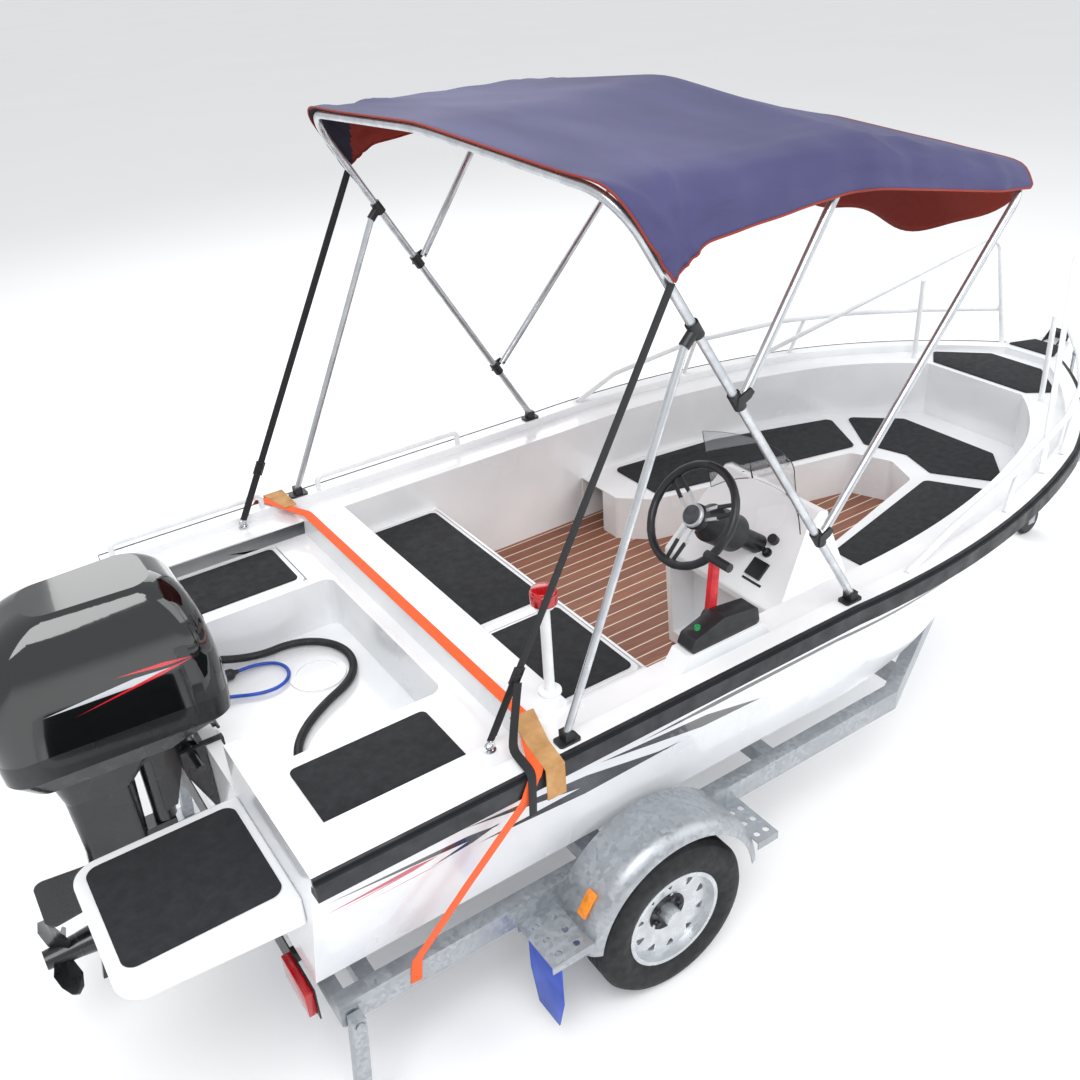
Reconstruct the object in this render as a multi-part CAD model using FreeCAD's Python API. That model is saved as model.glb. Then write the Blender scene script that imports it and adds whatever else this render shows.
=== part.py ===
"""Flat-bottom aluminium boat with canopy, outboard motor and its road trailer.

Millimetres. +X to the bow, +Y to port, +Z up. While modelling, X = 0 is the
boat's transom and Z = 0 the ground. Everything is moved at the end, so that
the origin is the middle of the footprint on the ground.
"""
import FreeCAD, Part
import math
import os

V = FreeCAD.Vector
X_AXIS = V(1, 0, 0)
Y_AXIS = V(0, 1, 0)
Z_AXIS = V(0, 0, 1)

# trailer
TYRE_RADIUS = 283.0
TYRE_WIDTH = 150.0
RIM_RADIUS = 172.0
AXLE_X = 1086.0
RAIL_TOP = 530.0
RAIL_HEIGHT = 80.0
RAIL_WIDTH = 50.0
RAIL_REAR_X = 30.0
RAIL_BEND_X = 2250.0
RAIL_NOSE_X = 3620.0
COUPLING_X = 4800.0
BUNK_RISE = 70.0
BUNK_Y = 420.0
CROSS_X = (120.0, 900.0, 1650.0, RAIL_BEND_X + 100)
GUARD_RADIUS = 345.0
GUARD_WIDTH = 195.0
GUARD_SHEET = 3.0
GUARD_ROUND = 60.0
STEP_PLATE_Z = 455.0
STAND_LEG = 40.0
JOCKEY_X = 4420.0
JOCKEY_Y = 130.0
JOCKEY_RADIUS = 80.0
WINCH_X = 4060.0
STOP_Z = 950.0

# hull
HULL_LENGTH = 4000.0
HALF_BEAM = 925.0
CHINE_HALF = 730.0
HULL_DEPTH = 570.0
PLATE = 5.0
GUNWALE_HEIGHT = 30.0
GUNWALE_WIDTH = 60.0
RAIL_RUBBER = 22.0
RAIL_RUBBER_HEIGHT = 62.0
SOLE_RISE = 100.0
SOLE_THICK = 20.0
BOARD_THICK = 45.0
BOARD_HALF = 340.0
BOARD_RISE = 400.0

# inner mouldings
COCKPIT_HALF = HALF_BEAM - 180.0
COCKPIT_END_X = 3560.0
AFT_DECK_DROP = 85.0
WELL_RISE = 300.0
WELL_HALF = 400.0
WELL_END_X = 640.0
RIDGE_X = 690.0
RIDGE_WIDTH = 160.0
RIDGE_RISE = 80.0
BENCH_RISE = 300.0
BENCH_DEPTH = 400.0
LID_THICK = 15.0
LID_GAP = 4.0
PAD_THICK = 6.0
BOW_SEAT_RISE = 194.0
BOW_SEAT_X = 1930.0
PLATFORM_LENGTH = 460.0
PLATFORM_INNER = 350.0
PLATFORM_OUTER = HALF_BEAM - 120.0
PLATFORM_EDGE = 65.0

# outboard motor
TILT_X = -40.0
STEER_X = -150.0
MOTOR_HALF = 195.0
PROP_RADIUS = 135.0
PROP_DROP = 580.0

# canopy frame
POLE_RADIUS = 12.5
FOOT_Y = HALF_BEAM - 30.0
BOW_TOP_Y = HALF_BEAM - 95.0
KNUCKLE_OFFSET = 36.0
PIN_RADIUS = 4.0
PIN_CLEAR = 0.4
EYE_END = 8.0
CANOPY_THICK = 12.0

# helm
WHEEL_DIAMETER = 350.0
WHEEL_TILT = 36.6

RAIL_Y = CHINE_HALF + 28.0
TRACK_HALF = RAIL_Y + 112.0
BOTTOM_Z = RAIL_TOP + BUNK_RISE
SHEER_Z = BOTTOM_Z + HULL_DEPTH
DECK_Z = SHEER_Z - GUNWALE_HEIGHT
SOLE_Z = BOTTOM_Z + SOLE_RISE
AFT_DECK_Z = SHEER_Z - AFT_DECK_DROP
WELL_Z = BOTTOM_Z + WELL_RISE
BOARD_Z = BOTTOM_Z + BOARD_RISE
BENCH_Z = SOLE_Z + BENCH_RISE
BOW_SEAT_Z = SOLE_Z + BOW_SEAT_RISE
BENCH_X = RIDGE_X + RIDGE_WIDTH
BENCH_FRONT_X = BENCH_X + BENCH_DEPTH
TILT_Z = BOARD_Z - 15.0
BEYOND = HALF_BEAM + 200.0

nodes = {}


def box(x0, x1, y0, y1, z0, z1):
    return Part.makeBox(x1 - x0, y1 - y0, z1 - z0, V(x0, y0, z0))


def rod(start, end, radius):
    """Round bar between two points."""
    axis = V(*end) - V(*start)
    return Part.makeCylinder(radius, axis.Length, V(*start), axis)


def tube(start, end, radius, bore):
    return rod(start, end, radius).cut(rod(start, end, bore))


def fuse(shapes):
    first, rest = shapes[0], shapes[1:]
    if not rest:
        return first
    return first.fuse(rest).removeSplitter()


def mirror(shape):
    """The same shape on the boat's other side."""
    return shape.mirror(V(0, 0, 0), Y_AXIS)


def both(shape):
    return Part.makeCompound([shape, mirror(shape)])


def face(points):
    points = [V(*p) for p in points]
    return Part.Face(Part.makePolygon(points + [points[0]]))


def side_profile(points, y0, y1):
    """Outline in X and Z, carried across from y0 to y1."""
    return face([(x, y0, z) for x, z in points]).extrude(V(0, y1 - y0, 0))


def plan_profile(points, z0, z1):
    """Outline in X and Y, carried up from z0 to z1."""
    return face([(x, y, z0) for x, y in points]).extrude(V(0, 0, z1 - z0))


def rounded(points, radius):
    """Closed outline through corner points, each rounded by one radius."""
    edges = []
    joints = []
    count = len(points)
    for i, corner in enumerate(points):
        before = V(*points[i - 1])
        after = V(*points[(i + 1) % count])
        corner = V(*corner)
        back = (before - corner).normalize()
        ahead = (after - corner).normalize()
        half = back.getAngle(ahead) / 2
        reach = radius / math.tan(half)
        middle = corner + (back + ahead).normalize() * (radius / math.sin(half) - radius)
        joints.append((corner + back * reach, middle, corner + ahead * reach))
    for i, (start, middle, end) in enumerate(joints):
        edges.append(Part.Arc(start, middle, end).toShape())
        following = joints[(i + 1) % count][0]
        if (following - end).Length > 0.01:
            edges.append(Part.LineSegment(end, following).toShape())
    return Part.Wire(edges)


def rounded_plan(points, radius, z0, z1):
    wire = rounded([(x, y, z0) for x, y in points], radius)
    return Part.Face(wire).extrude(V(0, 0, z1 - z0))


def rounded_side(points, radius, y0, y1):
    wire = rounded([(x, y0, z) for x, z in points], radius)
    return Part.Face(wire).extrude(V(0, y1 - y0, 0))


def path(points, bends):
    """Open wire of straight runs; each inner corner has its own bend radius."""
    points = [V(*p) for p in points]
    edges = []
    last = points[0]
    for i in range(1, len(points) - 1):
        corner = points[i]
        back = (points[i - 1] - corner).normalize()
        ahead = (points[i + 1] - corner).normalize()
        half = back.getAngle(ahead) / 2
        reach = bends[i - 1] / math.tan(half)
        middle = corner + (back + ahead).normalize() * (bends[i - 1] / math.sin(half) - bends[i - 1])
        start = corner + back * reach
        end = corner + ahead * reach
        if (start - last).Length > 0.01:
            edges.append(Part.LineSegment(last, start).toShape())
        edges.append(Part.Arc(start, middle, end).toShape())
        last = end
    if (points[-1] - last).Length > 0.01:
        edges.append(Part.LineSegment(last, points[-1]).toShape())
    return Part.Wire(edges)


def pipe(points, radius, bend):
    """Round bar along straight runs joined by bends of one or several radii."""
    bends = bend if isinstance(bend, list) else [bend] * (len(points) - 2)
    wire = path(points, bends)
    start = V(*points[0])
    ring = Part.Wire(Part.makeCircle(radius, start, V(*points[1]) - start))
    return wire.makePipeShell([ring], True, False)


def cord(points, radius):
    """Hose along its route, with arcs as large as the runs allow."""
    bends = []
    for i in range(1, len(points) - 1):
        back = V(*points[i - 1]) - V(*points[i])
        ahead = V(*points[i + 1]) - V(*points[i])
        half = back.getAngle(ahead) / 2
        bends.append(0.45 * min(back.Length, ahead.Length) * math.tan(half))
    print("hose radius", radius, "arcs", [round(b) for b in bends])
    return pipe(points, radius, bends)


def band(points, across, width, thickness):
    """Flat webbing along straight runs, lying with its width along one direction."""
    across = V(*across).normalize()
    runs = []
    for start, end in zip(points, points[1:]):
        start, end = V(*start), V(*end)
        along = (end - start).normalize()
        wide = (across - along * across.dot(along)).normalize() * (width / 2)
        thick = along.cross(wide).normalize() * thickness
        reach = along * (thickness / 2)
        corners = [start - reach - wide, start - reach + wide, end + reach + wide, end + reach - wide]
        runs.append(face([tuple(c) for c in corners]).extrude(thick))
    return fuse(runs)


# sheer x, sheer y, chine x, chine y, share of an inset taken along x and y
SHOULDER = (1800.0, HALF_BEAM, 1800.0, CHINE_HALF, 0.0, 1.0)
BOW_CURVE = [
    (2600.0, HALF_BEAM - 45, 2400.0, CHINE_HALF - 45, 0.1, 1.0),
    (3200.0, HALF_BEAM - 210, 2900.0, CHINE_HALF - 215, 0.35, 0.9),
    (3650.0, HALF_BEAM - 485, 3276.0, CHINE_HALF - 451, 0.7, 0.7),
    (HULL_LENGTH, 75.0, 3540.0, 40.0, 1.0, 0.4),
]


def plan_point(row, z, inset):
    sheer_x, sheer_y, chine_x, chine_y, share_x, share_y = row
    down = (SHEER_Z - z) / HULL_DEPTH
    x = sheer_x + (chine_x - sheer_x) * down - share_x * inset
    y = sheer_y + (chine_y - sheer_y) * down - share_y * inset
    return x, y


def plan_wire(z, inset, aft_x):
    """Outline of the hull at one height, moved inwards by an inset."""
    shoulder = plan_point(SHOULDER, z, inset)
    curve = [plan_point(row, z, inset) for row in BOW_CURVE]
    edges = []
    for side in (1, -1):
        points = [V(aft_x, side * shoulder[1], z)]
        points += [V(x, side * y, z) for x, y in [shoulder] + curve]
        edges.append(Part.LineSegment(points[0], points[1]).toShape())
        edges.append(Part.Arc(points[1], points[2], points[3]).toShape())
        edges.append(Part.Arc(points[3], points[4], points[5]).toShape())
    nose = curve[-1]
    port, starboard = edges[:3], edges[3:]
    front = Part.LineSegment(V(nose[0], nose[1], z), V(nose[0], -nose[1], z)).toShape()
    back = Part.LineSegment(V(aft_x, -shoulder[1], z), V(aft_x, shoulder[1], z)).toShape()
    return Part.Wire(port + [front] + starboard[::-1] + [back])


def plan_slab(z0, z1, inset, aft_x):
    """Slab with upright sides that has the sheer's outline."""
    slab = Part.Face(plan_wire(SHEER_Z, inset, aft_x)).extrude(V(0, 0, z1 - z0))
    slab.translate(V(0, 0, z0 - SHEER_Z))
    return slab


def hull_body(inset, top):
    """Everything inside the hull's sides and above its bottom."""
    sides = Part.makeLoft([plan_wire(top, inset, inset), plan_wire(BOTTOM_Z - 150, inset, inset)], True, True)
    low = BOTTOM_Z + inset
    start = V(-200, -BEYOND, low)
    rise = V(2400, -BEYOND, low)
    knee = V(3150, -BEYOND, low + 100)
    stem = V(3720, -BEYOND, low + 320)
    tip = V(4300, -BEYOND, low + 640)
    tip_top = V(4300, -BEYOND, top + 200)
    start_top = V(-200, -BEYOND, top + 200)
    edges = [
        Part.LineSegment(start, rise).toShape(),
        Part.Arc(rise, knee, stem).toShape(),
        Part.LineSegment(stem, tip).toShape(),
        Part.LineSegment(tip, tip_top).toShape(),
        Part.LineSegment(tip_top, start_top).toShape(),
        Part.LineSegment(start_top, start).toShape(),
    ]
    above = Part.Face(Part.Wire(edges)).extrude(V(0, 2 * BEYOND, 0))
    return sides.common(above)


# the cockpit's own outline, inside the side decks
COCKPIT_CURVE = [(1900.0, 0.0), (2600.0, 50.0), (3150.0, 205.0), (3410.0, 360.0), (COCKPIT_END_X, 505.0)]


def cockpit_slab(z0, z1, grow, aft_x):
    half = COCKPIT_HALF + grow
    edges = []
    ends = []
    for side in (1, -1):
        curve = [V(x + grow * 0.5, side * (half - narrow), z0) for x, narrow in COCKPIT_CURVE]
        curve[0].x = COCKPIT_CURVE[0][0]
        curve[-1].x = COCKPIT_END_X + grow
        edges.append(Part.LineSegment(V(aft_x, side * half, z0), curve[0]).toShape())
        edges.append(Part.Arc(curve[0], curve[1], curve[2]).toShape())
        edges.append(Part.Arc(curve[2], curve[3], curve[4]).toShape())
        ends.append(curve[4])
    front = Part.LineSegment(ends[0], ends[1]).toShape()
    back = Part.LineSegment(V(aft_x, -half, z0), V(aft_x, half, z0)).toShape()
    wire = Part.Wire(edges[:3] + [front] + edges[3:][::-1] + [back])
    return Part.Face(wire).extrude(V(0, 0, z1 - z0))


def build_hull():
    outer = hull_body(0, DECK_Z)
    inner = hull_body(PLATE, DECK_Z + 40)
    shell = outer.cut(inner)
    notch = box(-10, PLATE + 10, -BOARD_HALF, BOARD_HALF, BOARD_Z, DECK_Z + 10)
    runners = []
    for y in (-520, -180, 180, 520):
        runners.append(box(60, CROSS_X[-1], y - 20, y + 20, BOTTOM_Z - 14, BOTTOM_Z))
    nodes["hull_shell"] = fuse([shell.cut(notch)] + runners)

    rubber = plan_slab(SHEER_Z - RAIL_RUBBER_HEIGHT, SHEER_Z, -RAIL_RUBBER, -40)
    rubber = rubber.cut(plan_slab(DECK_Z, SHEER_Z + 10, 0, -60)).cut(outer)
    rubber = rubber.cut(box(-100, 0, -BEYOND, BEYOND, DECK_Z - 100, SHEER_Z + 50))
    lip = plan_slab(SHEER_Z - 10, SHEER_Z, -RAIL_RUBBER, -40).cut(plan_slab(SHEER_Z - 12, SHEER_Z + 2, -10, -60))

    deck = Part.Face(plan_wire(DECK_Z, PLATE + 2, PLATE)).extrude(V(0, 0, -PLATE))
    gunwale = plan_slab(DECK_Z, SHEER_Z, 0, 0).cut(plan_slab(DECK_Z - 1, SHEER_Z + 1, GUNWALE_WIDTH, GUNWALE_WIDTH))
    stern_cut = box(-10, BOARD_THICK + 25, -BOARD_HALF, BOARD_HALF, BOARD_Z, SHEER_Z + 10)
    nose = plan_profile([(3905, -150), (3905, 150), (3945, 140), (4130, 75), (4165, 45),
                         (4165, -45), (4130, -75), (3945, -140)], DECK_Z, SHEER_Z)
    nodes["rub_rail"] = rubber.cut(lip).cut(nose).removeSplitter()
    walls = cockpit_slab(SOLE_Z - SOLE_THICK, DECK_Z, PLATE, BENCH_X - 40).common(inner)
    liner = fuse([deck, gunwale, nose, walls, control_pod()])
    liner = liner.cut(cockpit_slab(BOTTOM_Z, SHEER_Z + 5, 0, GUNWALE_WIDTH - 20))
    nodes["deck_liner"] = liner.cut(stern_cut).cut(nodes["hull_shell"]).cut(nodes["rub_rail"])

    nodes["cockpit_floor"] = cockpit_slab(SOLE_Z - SOLE_THICK, SOLE_Z, 0, BENCH_X).common(inner)
    return inner


def build_aft_deck(inside):
    side = COCKPIT_HALF
    low = WELL_Z - 20
    block = box(PLATE, BENCH_X, -side, side, low, AFT_DECK_Z)
    ridge = rounded_side([(RIDGE_X, AFT_DECK_Z - 40), (RIDGE_X + 12, AFT_DECK_Z + RIDGE_RISE),
                          (BENCH_X, AFT_DECK_Z + RIDGE_RISE), (BENCH_X, AFT_DECK_Z - 40)], 8, -side, side)
    face_wall = box(BENCH_X - PLATE, BENCH_X, -side, side, SOLE_Z, low + 10)
    well = rounded_plan([(BOARD_THICK, -WELL_HALF), (WELL_END_X, -WELL_HALF), (WELL_END_X, WELL_HALF),
                         (BOARD_THICK, WELL_HALF)], 40, WELL_Z, AFT_DECK_Z + 10)
    board = box(PLATE, BOARD_THICK + 5, -BOARD_HALF, BOARD_HALF, WELL_Z - 5, AFT_DECK_Z + 10)
    board_top = box(0, BOARD_THICK + 5, -BOARD_HALF, BOARD_HALF, BOARD_Z, AFT_DECK_Z + 10)
    block = block.cut(well).cut(board).cut(locker_space())
    board_solid = box(PLATE, BOARD_THICK, -BOARD_HALF, BOARD_HALF, BOTTOM_Z + 40, BOARD_Z)
    hatch_ring = Part.makeCylinder(95, 6, V(WELL_END_X - 190, 150, WELL_Z))
    hatch_ring = hatch_ring.cut(Part.makeCylinder(72, 8, V(WELL_END_X - 190, 150, WELL_Z + 3)))
    whole = fuse([block, ridge, face_wall, board_solid, hatch_ring])
    nodes["aft_deck"] = whole.cut(board_top).common(inside)


LOCKER = (110.0, 570.0, WELL_HALF + 35, COCKPIT_HALF - 10)


def locker_space():
    x0, x1, y0, y1 = LOCKER
    opening = box(x0, x1, y0, y1, AFT_DECK_Z - LID_THICK, AFT_DECK_Z + 5)
    space = box(x0 + 20, x1 - 20, y0 + 20, y1 - 20, WELL_Z, AFT_DECK_Z)
    return opening.fuse(space)


def lid_with_pad(name, x0, x1, y0, y1, top, border):
    """Locker lid with its grip pad; the hinge line is the lid's aft edge."""
    lid = rounded_plan([(x0 + LID_GAP, y0 + LID_GAP), (x1 - LID_GAP, y0 + LID_GAP),
                        (x1 - LID_GAP, y1 - LID_GAP), (x0 + LID_GAP, y1 - LID_GAP)], 20, top - LID_THICK + 0.5, top)
    pad = rounded_plan([(x0 + border, y0 + border), (x1 - border, y0 + border),
                        (x1 - border, y1 - border), (x0 + border, y1 - border)], 22, top, top + PAD_THICK)
    nodes[name] = Part.makeCompound([lid, pad])


BENCH_LIDS = [("bench_lid_port", -95.0, COCKPIT_HALF - 15), ("bench_lid_starboard", -590.0, -125.0)]
BENCH_LID_X = 900.0


def build_lids():
    lid_with_pad("stern_locker_lid", *LOCKER, AFT_DECK_Z, 22)
    for name, y0, y1 in BENCH_LIDS:
        lid_with_pad(name, BENCH_LID_X, BENCH_FRONT_X - 12, y0, y1, BENCH_Z, 20)


def build_bench():
    side = COCKPIT_HALF
    block = rounded_side([(BENCH_X, SOLE_Z), (BENCH_X, BENCH_Z), (BENCH_FRONT_X, BENCH_Z), (BENCH_FRONT_X, SOLE_Z)],
                         6, -side, side)
    for name, y0, y1 in BENCH_LIDS:
        block = block.cut(box(BENCH_LID_X, BENCH_FRONT_X - 12, y0, y1, BENCH_Z - LID_THICK, BENCH_Z + 5))
        block = block.cut(box(BENCH_LID_X + 20, BENCH_FRONT_X - 32, y0 + 20, y1 - 20, SOLE_Z + 10, BENCH_Z))
    nodes["bench"] = block


# corners of the foot well between the bow seats, ahead of the seats' aft edge
SEAT_WELL = [(-130, -335), (420, -325), (1070, -160), (1140, 0), (1070, 170), (150, 385),
             (30, 500), (5, HALF_BEAM - 125), (-130, HALF_BEAM - 125)]


def build_bow_seat(inside):
    seat = cockpit_slab(SOLE_Z, BOW_SEAT_Z, 0, BOW_SEAT_X + 30)
    outline = Part.Face(rounded([(BOW_SEAT_X + x, y, SOLE_Z - 6) for x, y in SEAT_WELL], 40))
    well = outline.extrude(V(0, 0, BOW_SEAT_RISE + 12))
    hollow = cockpit_slab(SOLE_Z - 5, BOW_SEAT_Z - PLATE, -PLATE, BOW_SEAT_X + 30)
    grown = outline.makeOffset2D(8).extrude(V(0, 0, BOW_SEAT_RISE + 12))
    shell = seat.cut(hollow.cut(grown)).cut(well)
    nodes["bow_seat"] = shell.common(inside).cut(nodes["console"])


PLATFORM_PAD = [(-426, PLATFORM_INNER + 35), (-25, PLATFORM_INNER + 35), (-25, PLATFORM_OUTER - 42),
                (-426, PLATFORM_OUTER - 42)]
# corner points in plan, height, corner radius: stern, platforms, bow seats, foredeck, nose
PADS = [
    ([(125, -WELL_HALF - 52), (547, -WELL_HALF - 52), (547, 12 - COCKPIT_HALF), (125, 12 - COCKPIT_HALF)],
     AFT_DECK_Z, 20),
    (PLATFORM_PAD, BOARD_Z, 35),
    ([(x, -y) for x, y in PLATFORM_PAD], BOARD_Z, 35),
    ([(2110, 715), (2110, 415), (3060, 200), (3190, 470), (2640, 655)], BOW_SEAT_Z, 30),
    ([(3105, 190), (3160, 0), (3100, -175), (3255, -420), (3440, -230), (3440, 250), (3260, 430)],
     BOW_SEAT_Z, 24),
    ([(2330, -365), (3030, -205), (3175, -460), (2640, -650), (2330, -690)], BOW_SEAT_Z, 30),
    ([(3585, 240), (3680, 318), (3850, 130), (3850, -130), (3680, -318), (3585, -240)], DECK_Z, 14),
    ([(3945, 118), (4075, 66), (4075, -66), (3945, -118)], SHEER_Z, 10),
]


def build_pads():
    pads = [rounded_plan(points, radius, z, z + PAD_THICK) for points, z, radius in PADS]
    nodes["deck_pads"] = Part.makeCompound(pads)


def build_platforms():
    y0, y1 = PLATFORM_INNER, PLATFORM_OUTER
    top = rounded_plan([(0, y0), (0, y1), (-PLATFORM_LENGTH, y1), (-PLATFORM_LENGTH, y0)], 70,
                       BOTTOM_Z + 60, BOARD_Z)
    square = box(-PLATFORM_LENGTH / 2, 0, y0, y1, BOTTOM_Z + 60, BOARD_Z)
    section = side_profile([(0, BOARD_Z), (-PLATFORM_LENGTH, BOARD_Z), (-PLATFORM_LENGTH, BOARD_Z - PLATFORM_EDGE),
                            (0, BOARD_Z - 1.5 * PLATFORM_EDGE)], y0, y1)
    nodes["swim_platforms"] = both(top.fuse(square).common(section).removeSplitter())


CONSOLE_Y = (-COCKPIT_HALF, -215.0)
CONSOLE_FOOT_X = 1655.0
CONSOLE_FRONT_X = 1975.0
PANEL_LOW = (1635.0, 1110.0)
PANEL_HIGH = (1905.0, 1345.0)
SCREEN_TOP = 1510.0
SCREEN_LEAN = 60.0


def build_console():
    y0, y1 = CONSOLE_Y
    outline = [(CONSOLE_FOOT_X, SOLE_Z), PANEL_LOW, PANEL_HIGH, (PANEL_HIGH[0] + 40, PANEL_HIGH[1] - 8),
               (CONSOLE_FRONT_X, SOLE_Z)]
    body = rounded_side(outline, 14, y0, y1)
    knees = box(CONSOLE_FOOT_X - 100, CONSOLE_FOOT_X + 90, y0 + 60, y1 - 25, SOLE_Z + 60, PANEL_LOW[1] - 25)
    slope = face([(CONSOLE_FOOT_X - 100, y0 - 5, DECK_Z), (CONSOLE_FOOT_X - 100, y0, DECK_Z),
                  (CONSOLE_FOOT_X - 100, y0 + 85, PANEL_HIGH[1] - 45), (CONSOLE_FOOT_X - 100, y0 + 90, SCREEN_TOP),
                  (CONSOLE_FOOT_X - 100, y0 - 5, SCREEN_TOP)]).extrude(V(500, 0, 0))
    body = body.cut(knees).cut(slope)
    nodes["console"] = body
    panel = V(PANEL_HIGH[0] - PANEL_LOW[0], 0, PANEL_HIGH[1] - PANEL_LOW[1]).normalize()
    out = V(-panel.z, 0, panel.x)

    def on_panel(along, y):
        return V(PANEL_LOW[0], y, PANEL_LOW[1]) + panel * along

    def plate_on_panel(along, y, length, width, height):
        plate = box(0, length, -width / 2, width / 2, 0, height)
        plate.rotate(V(0, 0, 0), Y_AXIS, -math.degrees(math.atan2(panel.z, panel.x)))
        plate.translate(on_panel(along - length / 2, y))
        return plate

    key = on_panel(160, -588)
    parts = [Part.makeCylinder(17, 20, on_panel(206, -583), out),
             fuse([Part.makeCylinder(16, 8, key, out), Part.makeCylinder(9, 26, key, out)]),
             plate_on_panel(98, -594, 62, 64, 10), plate_on_panel(54, -602, 8, 84, 2)]
    nodes["dash_controls"] = Part.makeCompound(parts)

    base_z = 1200.0
    ends_x, middle_x = PANEL_HIGH[0] - 55, PANEL_HIGH[0] + 40
    inboard, outboard = y1 - 10, y0 + 95

    def screen_arc(grow):
        return Part.Arc(V(ends_x, outboard - grow, base_z), V(middle_x + grow, (inboard + outboard) / 2, base_z),
                        V(ends_x, inboard + grow, base_z)).toShape()

    outer, inner = screen_arc(2.0), screen_arc(-2.0)
    ends = [Part.LineSegment(outer.Vertexes[i].Point, inner.Vertexes[i].Point).toShape() for i in (0, 1)]
    screen = Part.Face(Part.Wire([outer, ends[1], inner, ends[0]])).extrude(V(-SCREEN_LEAN, 0, SCREEN_TOP - base_z))
    nodes["windscreen"] = max(screen.cut(body).Solids, key=lambda piece: piece.BoundBox.ZMax)


def build_helm():
    tilt = math.radians(WHEEL_TILT)
    axis = V(-math.cos(tilt), 0, math.sin(tilt))
    centre = V(1481, -533, 1432)
    radius = WHEEL_DIAMETER / 2
    rim = Part.makeTorus(radius - 14, 14, centre, axis)
    across = Y_AXIS
    up = axis.cross(across).normalize()
    hub = Part.makeCylinder(42, 26, centre - axis * 40, axis)
    cap = Part.makeCone(42, 26, 18, centre - axis * 14, axis)
    parts = [rim, hub, cap]
    for turn in (90, 210, 330):
        angle = math.radians(turn)
        out = across * math.cos(angle) + up * math.sin(angle)
        side = axis.cross(out).normalize()
        start = centre - axis * 30 + out * 30
        end = centre + out * (radius - 16)
        corners = [start - side * 24, end - side * 14, end + side * 14, start + side * 24]
        parts.append(face([tuple(c) for c in corners]).extrude(axis * 8))
    nodes["steering_wheel"] = fuse(parts)
    neck = Part.makeCone(34, 62, 46, centre - axis * 44, axis * -1)
    drum = Part.makeCylinder(62, 125, centre - axis * 90, axis * -1)
    shaft = Part.makeCylinder(33, 364, centre - axis * 40.3, axis * -1)
    column = fuse([neck, drum, shaft]).cut(nodes["console"]).Solids
    column = max(column, key=lambda piece: piece.BoundBox.ZMax)
    nodes["dash_controls"] = Part.makeCompound([nodes["dash_controls"], column])


CONTROL_Y = -HALF_BEAM + 125.0
POD_Z = DECK_Z + 50.0


def control_pod():
    """Raised foot of the remote control, moulded on the side deck."""
    return side_profile([(1180, DECK_Z), (1215, POD_Z), (1500, POD_Z), (1530, DECK_Z)],
                        CONTROL_Y - 40, CONTROL_Y + 40)


def build_remote_control():
    y = CONTROL_Y
    body = rounded_side([(1220, POD_Z), (1240, POD_Z + 45), (1350, POD_Z + 78), (1480, POD_Z + 62),
                         (1492, POD_Z)], 14, y - 32, y + 32)
    hub = Part.makeCylinder(30, 24, V(1360, y + 28, POD_Z + 40), Y_AXIS)
    lever = rounded_side([(1346, POD_Z + 30), (1376, POD_Z + 30), (1388, POD_Z + 228), (1362, POD_Z + 228)],
                         6, y + 34, y + 54)
    handle = rod((1375, y - 20, POD_Z + 230), (1375, y + 80, POD_Z + 230), 14)
    button = Part.makeCylinder(9, 30, V(1275, y, POD_Z + 35), Z_AXIS)
    nodes["remote_control"] = fuse([body, hub, lever, handle, button])


def build_warning_light():
    x, y = 830.0, -690.0
    base = Part.makeCylinder(34, 10, V(x, y, AFT_DECK_Z + RIDGE_RISE), Z_AXIS)
    pole = Part.makeCylinder(15, 300, V(x, y, AFT_DECK_Z + RIDGE_RISE), Z_AXIS)
    cup = Part.makeCylinder(30, 12, V(x, y, AFT_DECK_Z + RIDGE_RISE + 290), Z_AXIS)
    low = AFT_DECK_Z + RIDGE_RISE + 302
    lens = Part.makeCylinder(38, 34, V(x, y, low), Z_AXIS)
    dome = Part.makeCylinder(34, 10, V(x, y, low + 34), Z_AXIS)
    nodes["warning_light"] = Part.makeCompound([fuse([base, pole, cup]), fuse([lens, dome])])


RAIL_INSET = 30.0


def sheer_at(x):
    """Half-width of the sheer at one station, from the hull's own outline."""
    cut = Part.Face(plan_wire(SHEER_Z, 0, 0)).common(box(x - 0.5, x + 0.5, 0, BEYOND, SHEER_Z - 5, SHEER_Z + 5))
    return cut.BoundBox.YMax


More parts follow.
